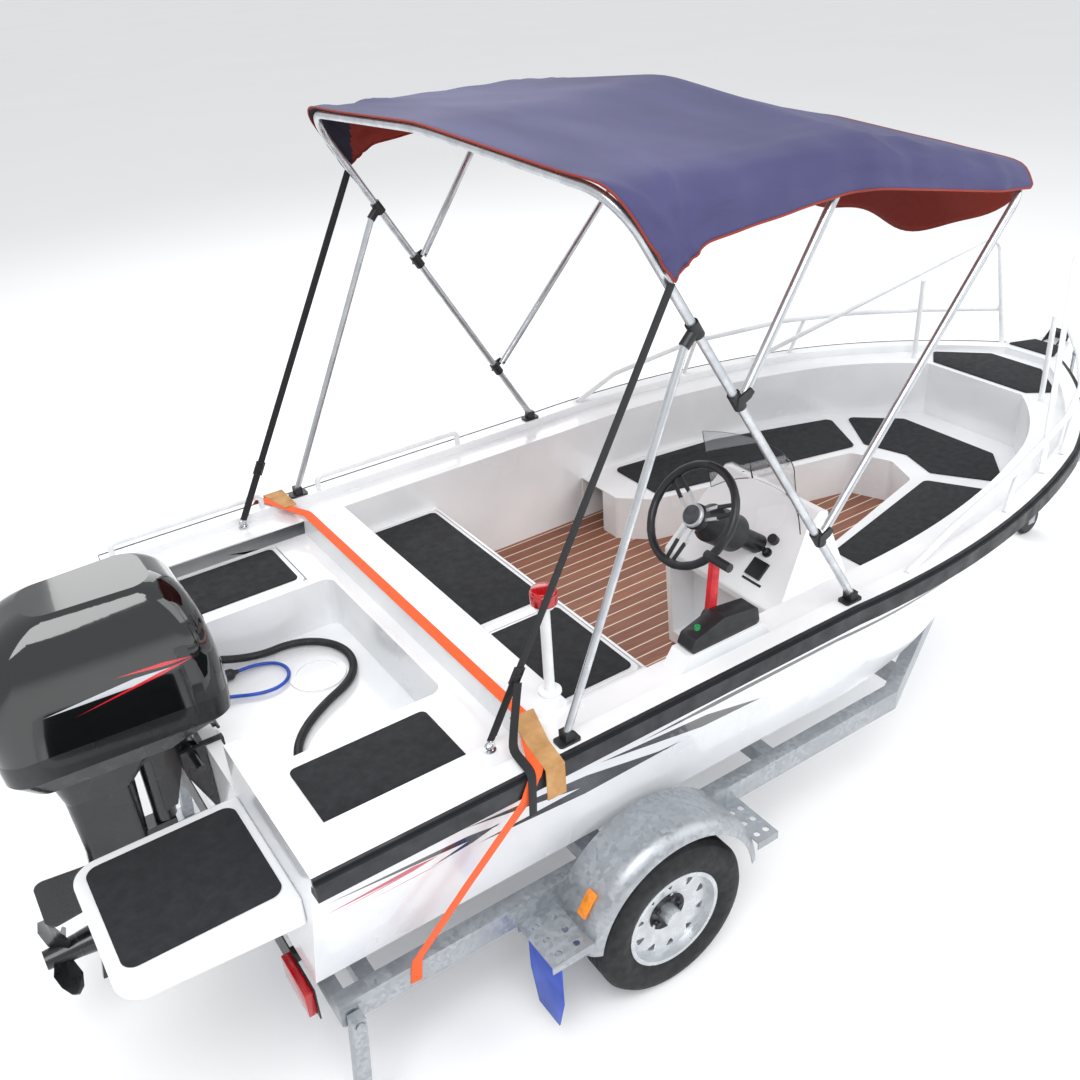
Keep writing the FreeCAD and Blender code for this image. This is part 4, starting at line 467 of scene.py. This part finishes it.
def screen_finish(face):
    """Painted shade on the clear sheet's polished edge, whose edge faces are as narrow as it is thick: black nylon
    stands in for how the edge darkens in light.
    """
    longest = max((a.co - b.co).length for a in face.verts for b in face.verts)
    return int(face.calc_area() / longest < 4.6 * MM)


# the clear sheet's edge faces get black nylon as painted shade
restyle("screen", "windscreen", ROOT, [ACRYLIC, NYLON], screen_finish)

WHEEL_CENTRE = {"port": part_point(1086, 870, 283), "starboard": part_point(1086, -870, 283)}


def rim_finish(side):
    """Silver wheel with dark hub and nuts round a silver cap."""
    centre = WHEEL_CENTRE[side]

    def pick(face):
        middle = face.calc_center_median() - centre
        out = math.hypot(middle.x, middle.z) / MM
        depth = abs(face.calc_center_median().y) / MM - abs(centre.y) / MM
        if 31 < out < 62 and depth > -30:
            return 1
        return 0
    return pick


for side in ("port", "starboard"):
    restyle("wheel_rim_" + side, "rim_" + side, "wheel_" + side, [SILVER, CAST], rim_finish(side))


def jockey_finish(face):
    middle = face.calc_center_median() - part_point(4375, 130, 80)
    return int(math.hypot(middle.x, middle.z) > 62 * MM)


restyle("jockey_tyre_and_hub", "jockey_wheel", "jockey_wheel", [NYLON, TYRE], jockey_finish)


# hoses and straps

def spline_points(name, points):
    """Points along the smooth line that a NURBS spline gives through its control points."""
    curve = bpy.data.curves.new(name, "CURVE")
    curve.dimensions = "3D"
    curve.resolution_u = 24
    line = curve.splines.new("NURBS")
    line.points.add(len(points) - 1)
    for target, point in zip(line.points, points):
        target.co = (*point, 1.0)
    line.order_u = 3
    line.use_endpoint_u = True
    holder = bpy.data.objects.new(name, curve)
    bpy.context.scene.collection.objects.link(holder)
    bpy.context.view_layer.update()
    mesh = bpy.data.meshes.new_from_object(holder)
    found = np.array([v.co for v in mesh.vertices])
    bpy.data.objects.remove(holder)
    bpy.data.meshes.remove(mesh)
    return found


def even_points(found, step):
    """The same line with its points one step apart, and its length."""
    gaps = np.linalg.norm(np.diff(found, axis=0), axis=1)
    along = np.concatenate([[0.0], np.cumsum(gaps)])
    count = max(2, round(along[-1] / step))
    at = np.linspace(0, along[-1], count + 1)
    return np.stack([np.interp(at, along, found[:, i]) for i in range(3)], 1), along[-1]


def tube_mesh(name, points, radii, sides=14):
    """Closed tube along points; its rings keep from twisting."""
    along = np.gradient(points, axis=0)
    along /= np.linalg.norm(along, axis=1)[:, None]
    out = np.cross(along[0], (0, 0, 1.0))
    if np.linalg.norm(out) < 1e-3:
        out = np.cross(along[0], (1.0, 0, 0))
    verts, rings = [], []
    for centre, direction, radius in zip(points, along, radii):
        out = out - direction * out.dot(direction)
        out /= np.linalg.norm(out)
        beside = np.cross(direction, out)
        ring = []
        for k in range(sides):
            angle = 2 * math.pi * k / sides
            ring.append(len(verts))
            verts.append(centre + radius * (math.cos(angle) * out + math.sin(angle) * beside))
        rings.append(ring)
    faces = [(a[k], a[(k + 1) % sides], b[(k + 1) % sides], b[k])
             for a, b in zip(rings, rings[1:]) for k in range(sides)]
    faces += [tuple(rings[0][::-1]), tuple(rings[-1])]
    mesh = bpy.data.meshes.new(name)
    mesh.from_pydata([tuple(v) for v in verts], [], faces)
    mesh.update()
    return mesh


CONTROL_ROUTE = [
    (-2.161, 0.17, 0.985), (-2.161, 0.208, 0.985), (-2.1509, 0.2457, 0.99), (-2.1314, 0.2794, 0.999),
    (-2.1038, 0.307, 1.005), (-2.0701, 0.3265, 1.007), (-2.0266, 0.3382, 1.001), (-1.9566, 0.3382, 0.981),
    (-1.8667, 0.3429, 0.941), (-1.7767, 0.3445, 0.921), (-1.7018, 0.3484, 0.921), (-1.6234, 0.3183, 0.921),
    (-1.5645, 0.2529, 0.921), (-1.5432, 0.1675, 0.921), (-1.564, 0.084, 0.921), (-1.6193, 0.0182, 0.921),
    (-1.7182, -0.0301, 0.921), (-1.8094, -0.0916, 0.921), (-1.8729, -0.1622, 0.921), (-1.9067, -0.2456, 0.921),
    (-1.9195, -0.3367, 0.921), (-1.9195, -0.4, 0.921),
]
FUEL_ROUTE = [
    (-2.0685, 0.095, 0.96), (-2.0685, 0.137, 0.96), (-2.0465, 0.1751, 0.946), (-2.0067, 0.1981, 0.929),
    (-1.9487, 0.1981, 0.913), (-1.8967, 0.1681, 0.913), (-1.8497, 0.151, 0.913), (-1.8037, 0.151, 0.913),
    (-1.7673, 0.172, 0.913), (-1.7463, 0.2084, 0.913), (-1.7463, 0.2504, 0.913), (-1.7673, 0.2868, 0.913),
    (-1.8037, 0.3078, 0.913), (-1.8457, 0.3078, 0.921), (-1.8857, 0.3078, 0.921),
]

# the control cables' sleeve, with a moulded ring every 9 mm
line = even_points(spline_points("control_line", CONTROL_ROUTE), 2.25 * MM)[0]
ring_radii = [14 * MM if k % 4 in (0, 1) else 12.6 * MM for k in range(len(line))]
control_hose = place_piece("cable_sleeve", tube_mesh("cable_sleeve", line, ring_radii), [HOSE], ROOT, "control_hose")
smooth(control_hose, 60)

fuel_line = even_points(spline_points("fuel_line", FUEL_ROUTE), 5 * MM)[0]
fuel_hose = place_piece("fuel_line_blue", tube_mesh("fuel_line_blue", fuel_line, [6 * MM] * len(fuel_line), 12),
                        [BLUE_HOSE], ROOT, "fuel_hose")
smooth(fuel_hose, 60)

# primer bulb: a squeezable ribbed body between two barbs
bulb_start = Vector((-1.8857, 0.3078, 0.921))
BULB = [(0, 7), (8, 8), (14, 11), (18, 15), (24, 18), (34, 18.6), (36, 18.0), (38, 18.8), (46, 19), (48, 18.3),
        (50, 19), (58, 19), (60, 18.3), (62, 18.8), (72, 18.4), (80, 17), (86, 14), (90, 10.5), (96, 8), (100, 7)]
bulb_line = np.array([tuple(bulb_start - Vector((run * MM, 0, 0))) for run, radius in BULB])
bulb = place_piece("primer_bulb_ribbed", tube_mesh("primer_bulb_ribbed", bulb_line, [r * MM for run, r in BULB], 24),
                   [RUBBER], ROOT, "primer_bulb")
smooth(bulb, 50)


def strap_mesh(name, points, across, width, thickness):
    """Webbing along points with its width along one direction and a rounded section."""
    along = np.gradient(points, axis=0)
    along /= np.linalg.norm(along, axis=1)[:, None]
    section = [(-0.5, -0.3), (-0.46, -0.5), (0.46, -0.5), (0.5, -0.3),
               (0.5, 0.3), (0.46, 0.5), (-0.46, 0.5), (-0.5, 0.3)]
    verts = []
    for centre, direction in zip(points, along):
        wide = across - direction * across.dot(direction)
        wide /= np.linalg.norm(wide)
        thick = np.cross(direction, wide)
        verts += [centre + wide * (a * width) + thick * (b * thickness) for a, b in section]
    count = len(section)
    faces = []
    for ring in range(len(points) - 1):
        low, high = ring * count, (ring + 1) * count
        faces += [(low + k, low + (k + 1) % count, high + (k + 1) % count, high + k) for k in range(count)]
    faces += [tuple(range(count))[::-1], tuple(range(len(verts) - count, len(verts)))]
    mesh = bpy.data.meshes.new(name)
    mesh.from_pydata([tuple(v) for v in verts], [], faces)
    mesh.update()
    shape = bmesh.new()
    shape.from_mesh(mesh)
    bmesh.ops.recalc_face_normals(shape, faces=shape.faces)
    shape.to_mesh(mesh)
    shape.free()
    return mesh


def straight_points(corners, step):
    """Even points along straight runs between corners."""
    return even_points(np.array([tuple(c) for c in corners]), step)[0]


def cube_mesh(name, middle, axes, size, bevel):
    """Small block with rounded edges, along three given axes."""
    bpy.ops.mesh.primitive_cube_add(size=1.0, location=(0, 0, 0))
    made = bpy.context.object
    made.scale = size
    bpy.ops.object.transform_apply(location=False, rotation=False, scale=True)
    apply_modifier(made, "BEVEL", width=bevel, segments=2)
    made.data.transform(Matrix.Translation(middle) @ Matrix(axes).transposed().to_4x4())
    return made


def join(name, parts, finishes, body, *nodes):
    """One piece from several meshes, each face keeping its own finish."""
    shape = bmesh.new()
    for mesh, index in parts:
        start = len(shape.faces)
        shape.from_mesh(mesh)
        shape.faces.ensure_lookup_table()
        for face in shape.faces[start:]:
            face.material_index = index
    mesh = bpy.data.meshes.new(name)
    shape.to_mesh(mesh)
    shape.free()
    made = place_piece(name, mesh, finishes, body, *nodes)
    smooth(made)
    return made


def take_mesh(obj):
    """A helper object's mesh, with the object gone."""
    mesh = obj.data
    bpy.data.objects.remove(obj)
    return mesh


# rear canopy straps: webbing with a sewn end, a slide buckle, a hook in a deck eye, and a loose tail
strap_parts = []
for side, eye_x, eye_y in ((-1, 580, -770), (1, 500, 840)):
    top = part_point(1125, side * 864, 2312)
    foot = part_point(eye_x, eye_y, 1158)
    up = (top - foot).normalized()
    wide = Vector((1, 0, 0))
    wide = (wide - up * wide.dot(up)).normalized()
    thick = up.cross(wide)
    points = straight_points([foot + up * 30 * MM, top], 40 * MM)
    strap_parts.append((strap_mesh("webbing", points, np.array(wide), 25 * MM, 1.8 * MM), 0))
    # doubled webbing from the eye to the buckle
    points = straight_points([foot + up * lift * MM + thick * 2.2 * MM for lift in (12, 225)], 20 * MM)
    strap_parts.append((strap_mesh("doubled", points, np.array(wide), 25 * MM, 1.8 * MM), 0))
    axes = (wide, thick, up)
    for lift, height in ((195, 6), (218, 5), (240, 6)):
        strap_parts.append((take_mesh(cube_mesh("bar", foot + up * lift * MM, axes, (34 * MM, 8 * MM, height * MM),
                                                1.5 * MM)), 1))
    for shift in (-15.5, 15.5):
        strap_parts.append((take_mesh(cube_mesh("cheek", foot + up * 217 * MM + wide * shift * MM, axes,
                                                (3 * MM, 7 * MM, 48 * MM), 1.2 * MM)), 1))
    bpy.ops.mesh.primitive_torus_add(major_radius=12 * MM, minor_radius=3.2 * MM,
                                     major_segments=28, minor_segments=10,
                                     location=part_point(eye_x, eye_y, 1156), rotation=(math.radians(90), 0, 0))
    ring = bpy.context.object
    bpy.ops.object.transform_apply(location=True, rotation=True, scale=True)
    strap_parts.append((take_mesh(ring), 2))
    bpy.ops.mesh.primitive_cylinder_add(radius=18 * MM, depth=4 * MM, vertices=32,
                                        location=part_point(eye_x, eye_y, 1142))
    plate = bpy.context.object
    bpy.ops.object.transform_apply(location=True, rotation=True, scale=True)
    apply_modifier(plate, "BEVEL", width=1.2 * MM, segments=2, limit_method="ANGLE")
    strap_parts.append((take_mesh(plate), 2))
tail = [part_point(*p) for p in ((668, -797, 1340), (640, -818, 1270), (612, -842, 1204), (602, -860, 1186),
                                 (600, -905, 1184), (597, -948, 1182), (594, -957, 1160), (588, -961, 1100),
                                 (585, -962, 1052))]
points = even_points(spline_points("tail_line", tail), 12 * MM)[0]
across = np.array((1, 0.1, 0.2)) / np.linalg.norm((1, 0.1, 0.2))
strap_parts.append((strap_mesh("tail", points, across, 25 * MM, 2 * MM), 0))
join("canopy_webbing", strap_parts, [WEBBING, NYLON, CHROME], ROOT, "canopy_straps")

# tie-down strap over the boat, from rail to rail
half_route = [(262, -784.6, 465), (270, -784.6, 525), (275, -785.5, 548), (420, -867, 822), (560, -947, 1080),
              (574, -953, 1104), (600, -951.5, 1155), (609, -950, 1170), (616, -944, 1175.3), (648, -866, 1175.3),
              (676, -805, 1172.8), (703, -743, 1170.6), (712, -737, 1167.5)]
route = [part_point(*p) for p in half_route] + [part_point(x, -y, z) for x, y, z in reversed(half_route)]
points = straight_points(route, 14 * MM)
tie_mesh = strap_mesh("tie_down_webbing", points, np.array((1.0, 0, 0)), 35 * MM, 2.2 * MM)
tie = place_piece("tie_down_webbing", tie_mesh, [ORANGE], ROOT, "tie_down_strap")
smooth(tie, 50)


# steering wheel

TILT = math.radians(36.6)
WHEEL_AXIS = Vector((-math.cos(TILT), 0, math.sin(TILT)))
WHEEL_ACROSS = Vector((0, 1, 0))
WHEEL_UP = WHEEL_AXIS.cross(WHEEL_ACROSS).normalized()
HELM = part_point(1481, -533, 1432)


def helm_matrix():
    """Places a shape made flat on X and Y, facing +Z, at the steering wheel."""
    return Matrix.Translation(HELM) @ Matrix((WHEEL_ACROSS, WHEEL_UP, WHEEL_AXIS)).transposed().to_4x4()


# a spoke's inner and outer half: start and end radius, start and end height, start and end offset, width, finish
SPOKE_HALVES = [(30, 92, -22, -13, 15, 19, 11, 1), (86, 156, -13, -3, 17, 13, 13, 0)]


def steering_wheel():
    """Rim with finger grips, three double spokes and a hub with a cap."""
    parts = []
    bpy.ops.mesh.primitive_torus_add(major_radius=161 * MM, minor_radius=13 * MM,
                                     major_segments=144, minor_segments=20, location=(0, 0, 0))
    rim = bpy.context.object
    # finger grips swell the rim
    for vertex in rim.data.vertices:
        turn = math.atan2(vertex.co.y, vertex.co.x)
        centre = Vector((math.cos(turn), math.sin(turn), 0)) * 161 * MM
        swell = 1 + 0.055 * max(0, math.cos(turn * 18)) ** 2
        vertex.co = centre + (vertex.co - centre) * swell
    parts.append((take_mesh(rim), 0))
    for turn in (90, 210, 330):
        out = Vector((math.cos(math.radians(turn)), math.sin(math.radians(turn)), 0))
        beside = Vector((0, 0, 1)).cross(out)
        for shift in (-1, 1):
            for start, end, low, high, near, far, width, finish in SPOKE_HALVES:
                a = out * start + beside * shift * near + Vector((0, 0, low))
                b = out * end + beside * shift * far + Vector((0, 0, high))
                along = (b - a).normalized()
                side = Vector((0, 0, 1)).cross(along).normalized()
                axes = (along, side, along.cross(side))
                block = cube_mesh("spoke", (a + b) / 2 * MM, axes, ((b - a).length * MM, width * MM, 7 * MM), 2 * MM)
                parts.append((take_mesh(block), finish))
    for radius, low, high, finish in ((42, -40, -14, 0), (38, -14, 2, 1), (31, 2, 8, 2)):
        bpy.ops.mesh.primitive_cylinder_add(radius=radius * MM, depth=(high - low) * MM, vertices=48,
                                            location=(0, 0, (low + high) / 2 * MM))
        hub = bpy.context.object
        bpy.ops.object.transform_apply(location=True, rotation=True, scale=True)
        apply_modifier(hub, "BEVEL", width=4 * MM, segments=3, limit_method="ANGLE")
        parts.append((take_mesh(hub), finish))
    for mesh, finish in parts:
        mesh.transform(helm_matrix())
    return join("helm_wheel", parts, [NYLON, SILVER, HUB_GREY], "steering_wheel", "steering_wheel")


steering_wheel()


# canopy: one sheet over the three hoops, lined red-brown

# station's place along the top, drop of the hem below the rear hoop's corner, fall to the shoulder,
# lean of the section
CANOPY_STATIONS = [(950.0, 204.0, 48.0, 0.6084), (1230.0, 137.0, 59.0, 0.0), (1680.0, 107.0, 80.0, 0.0),
                   (1802.6, 118.0, 84.0, 0.0), (2290.0, 212.0, 55.0, 0.0), (2545.0, 232.0, 40.0, -0.906)]
CANOPY_PEAKS = [(968.8, 2573.2), (1802.6, 2590.4), (2515.3, 2374.5)]
CLOTH_OVER = 26.5
CLOTH_INSET = 7.0
HOOP_HALF = 830.0
HOOP_TOP = 2522.0


def cloth_top(x):
    i = 0 if x < CANOPY_PEAKS[1][0] else 1
    (x0, z0), (x1, z1) = CANOPY_PEAKS[i], CANOPY_PEAKS[i + 1]
    return z0 + (z1 - z0) * (x - x0) / (x1 - x0) + CLOTH_OVER


def station_corners(station):
    """Ridge, shoulder, bend and hem of one section, in the part's millimetres, on the port side."""
    x, drop, fall, lean = station
    high = cloth_top(x)
    top, hem = high - CLOTH_INSET, HOOP_TOP - drop
    half = HOOP_HALF + CLOTH_OVER + 4 - CLOTH_INSET
    bend = top - fall - 45
    corners = [(0, top), (half - 62, top - fall), (half, bend), (half + 0.09 * (bend - hem), hem)]
    return np.array([(x + lean * (high - z), y, z) for y, z in corners])


def lerp_stations(x):
    rows = [station_corners(s) for s in CANOPY_STATIONS]
    places = [s[0] for s in CANOPY_STATIONS]
    i = min(max(np.searchsorted(places, x) - 1, 0), len(rows) - 2)
    share = (x - places[i]) / (places[i + 1] - places[i])
    return rows[i] * (1 - share) + rows[i + 1] * share


ALONG, ROOF, SHOULDER_STEPS, SKIRT = 96, 22, 4, 11


def section_points(x):
    ridge, shoulder, bend, hem = lerp_stations(x)
    half = []
    for a, b, count in ((ridge, shoulder, ROOF), (shoulder, bend, SHOULDER_STEPS), (bend, hem, SKIRT)):
        half += [a + (b - a) * k / count for k in range(count)]
    half.append(hem)
    other = [p * np.array((1, -1, 1)) for p in half[1:]]
    return np.array(other[::-1] + half)


def wave(value, length, phase=0.0):
    return math.sin(2 * math.pi * value / length + phase)


def fold_height(x, below, side):
    """How far a fold lifts the cloth outwards, in millimetres; below is the way along the cloth from the hem."""
    lift = 0.0
    # folds that fan from the gather above the rear corner
    gather_x, gather_t = 1085.0, 60.0
    run, rise = x - gather_x, below - gather_t
    reach = math.hypot(run, rise)
    angle = math.atan2(rise, run)
    strength = min(1.0, reach / 140) * math.exp(-reach / 330)
    ridge = max(0.0, math.sin(angle * 6.5 + (0.6 if side < 0 else 1.4))) ** 1.6
    lift += 17 * strength * ridge
    # pull lines forward of the middle hoop's corner
    run, rise = x - 1800.0, below - 215.0
    reach = math.hypot(run, rise)
    angle = math.atan2(rise, run)
    ahead = 0.5 + 0.5 * math.tanh(run / 60)
    lift += 9 * ahead * min(1.0, reach / 120) * math.exp(-reach / 420) * max(0.0, math.sin(angle * 9 + side)) ** 2
    # long shallow folds on the skirt between the hoops
    low = max(0.0, 1 - below / 330)
    mask = min(max((x - 1180) / 200, 0), 1) * min(max((2480 - x) / 160, 0), 1)
    lift += 3.2 * mask * (1 + wave(below + 0.12 * x, 88, side)) * (0.35 + 0.65 * low)
    lift += 2.6 * mask * low * (1 + wave(x, 173, 1.3 * side))
    return lift


def canopy_sheet():
    xs = [950.0 + 1595.0 * k / ALONG for k in range(ALONG + 1)]
    grid = np.array([section_points(x) for x in xs])
    # cloth hangs a little between hoops
    for i, x in enumerate(xs):
        hoops = [p[0] for p in CANOPY_PEAKS]
        j = 0 if x < hoops[1] else 1
        share = min(max((x - hoops[j]) / (hoops[j + 1] - hoops[j]), 0), 1)
        sag = 15.0 * 4 * share * (1 - share)
        middle = len(grid[i]) // 2
        for k in range(len(grid[i])):
            roof = max(0.0, 1 - (abs(k - middle) / (ROOF + 1)) ** 3)
            grid[i, k, 2] -= sag * roof
            grid[i, k, 2] += 1.6 * roof * wave(x, 260, k * 0.35) * math.sin(math.pi * share)
    # soften the creases, holding the hem
    for turn in range(3):
        inner = grid.copy()
        inner[:, 1:-1] = (grid[:, :-2] + 2 * grid[:, 1:-1] + grid[:, 2:]) / 4
        grid = inner.copy()
        inner[1:-1] = (grid[:-2] + 2 * grid[1:-1] + grid[2:]) / 4
        grid = inner
    along = np.gradient(grid, axis=0)
    across = np.gradient(grid, axis=1)
    normal = np.cross(along, across)
    normal /= np.linalg.norm(normal, axis=2)[:, :, None]
    if normal[ALONG // 2, grid.shape[1] // 2, 2] < 0:
        normal = -normal
    middle = grid.shape[1] // 2
    lifted = grid.copy()
    for i, x in enumerate(xs):
        for side, order in ((-1, range(middle)), (1, range(grid.shape[1] - 1, middle, -1))):
            below, last = 0.0, None
            for k in order:
                if last is not None:
                    below += np.linalg.norm(grid[i, k] - last)
                last = grid[i, k]
                fade = min(1.0, max(0.0, (560 - below) / 260))
                lifted[i, k] = grid[i, k] + normal[i, k] * fold_height(x, below, side) * fade
    return lifted


def grid_mesh(name, grid):
    rows, columns = grid.shape[:2]
    verts = [tuple(part_point(*p)) for row in grid for p in row]
    faces = [(i * columns + k, (i + 1) * columns + k, (i + 1) * columns + k + 1, i * columns + k + 1)
             for i in range(rows - 1) for k in range(columns - 1)]
    mesh = bpy.data.meshes.new(name)
    mesh.from_pydata(verts, [], faces)
    mesh.update()
    return mesh


cloth = canopy_sheet()
sheet_mesh = grid_mesh("canopy_sheet", cloth)
if sheet_mesh.polygons[len(sheet_mesh.polygons) // 2].normal.z < 0:
    sheet_mesh.flip_normals()
canopy = place_piece("canopy_sheet", sheet_mesh, [NAVY, RED_BROWN, NAVY_PAINTED_SHADE], ROOT, "canopy")
apply_modifier(canopy, "SOLIDIFY", thickness=1.8 * MM, offset=0.0, material_offset=1, material_offset_rim=1)
# the lining's inside faces at the rear side corners take the darker navy copy, as painted shade under the canopy
for face in canopy.data.polygons:
    x = (face.center.x - TRANSOM_X) / MM
    if face.material_index == 1 and abs(face.center.y) > 0.80 and x < 1150:
        face.material_index = 2
smooth(canopy, 180)
# the lining's front flap hangs inside, down from the front hoop, with a scalloped hem


def flap_grid():
    """Rows down the flap from the cloth's own front edge, in the part's millimetres."""
    front = cloth[-1][np.argsort(cloth[-1][:, 1])]
    rows = []
    for k in range(15):
        row = []
        for i in range(65):
            across = -1 + 2 * i / 64
            y = across * 795
            top_x = np.interp(y, front[:, 1], front[:, 0])
            top = np.interp(y, front[:, 1], front[:, 2])
            depth = 285 * (1 - 0.78 * abs(across) ** 5) + 16 * math.cos(across * 4 * math.pi)
            drop = depth * k / 14
            x = top_x + k / 14 * (5 * math.sin(across * 17) - 26 * (1 - abs(across)))
            row.append((x, y, top - drop))
        rows.append(row)
    return np.array(rows)


flap_mesh = grid_mesh("canopy_front_flap", flap_grid())
flap = place_piece("canopy_front_flap", flap_mesh, [RED_BROWN, NAVY], ROOT)
apply_modifier(flap, "SOLIDIFY", thickness=1.6 * MM, offset=0.0)
for face in flap.data.polygons:
    face.material_index = int(face.normal.x > 0)
smooth(flap, 180)
hem_points = np.concatenate([cloth[:, 0], cloth[-1, 1:-1], cloth[::-1, -1], cloth[0, -2:0:-1]])
hem_points = np.array([tuple(part_point(*p)) for p in hem_points])
piping_line = np.concatenate([hem_points, hem_points[:1]])
piping = place_piece("canopy_piping", tube_mesh("canopy_piping", piping_line, [3.2 * MM] * len(piping_line), 8),
                     [RED_BROWN], ROOT)
smooth(piping, 60)
# the cloth, its piping and the flap each get their own copy of their mesh
for piece in (canopy, piping, flap):
    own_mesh(piece)

# floor, lights and camera

bpy.ops.mesh.primitive_plane_add(size=300.0, location=(0, 0, -0.002))
floor = bpy.context.object
floor.name = "floor"
floor.data.materials.append(surface("pale_floor", "FFFFFF", "FDFDFE", 0.9, 2.0, 0.05, 0.05 * MM))


def area_light(name, place, aim, size, power):
    data = bpy.data.lights.new(name, "AREA")
    data.size = size
    data.energy = power
    made = bpy.data.objects.new(name, data)
    bpy.context.scene.collection.objects.link(made)
    made.location = place
    made.rotation_euler = (Vector(aim) - Vector(place)).to_track_quat("-Z", "Y").to_euler()
    return made


area_light("key", (-3.5, -4.5, 7.5), (0, 0, 0.8), 5.0, 420)
area_light("fill", (4.5, -5.5, 5.0), (0.3, 0, 0.8), 6.0, 210)
area_light("back", (1.0, 6.0, 6.5), (0, 0, 1.0), 6.0, 240)
world = bpy.data.worlds.new("studio")
bpy.context.scene.world = world
world.use_nodes = True
world.node_tree.nodes["Background"].inputs["Color"].default_value = colour("F8FAFC")
world.node_tree.nodes["Background"].inputs["Strength"].default_value = 0.78

# the photograph's camera, found from the boat's and the trailer's sizes in it
CAMERA_PLACE = (-2.5915, -2.7842, 3.1069)
CAMERA_HEADING = 1.0146
CAMERA_DOWN = 0.5308
CAMERA_ROLL = -0.0684
FOCAL_SHARE = 1107.2 / 1080

lens = bpy.data.cameras.new("photo_camera")
camera = bpy.data.objects.new("photo_camera", lens)
bpy.context.scene.collection.objects.link(camera)
look = Vector((math.cos(CAMERA_DOWN) * math.cos(CAMERA_HEADING), math.cos(CAMERA_DOWN) * math.sin(CAMERA_HEADING),
               -math.sin(CAMERA_DOWN)))
turn = look.to_track_quat("-Z", "Y").to_matrix() @ Matrix.Rotation(CAMERA_ROLL, 3, "Z")
camera.location = CAMERA_PLACE
camera.rotation_euler = turn.to_euler()
lens.sensor_width = 36.0
lens.lens = 36.0 * FOCAL_SHARE
bpy.context.scene.camera = camera
bpy.context.scene.view_settings.view_transform = "Standard"
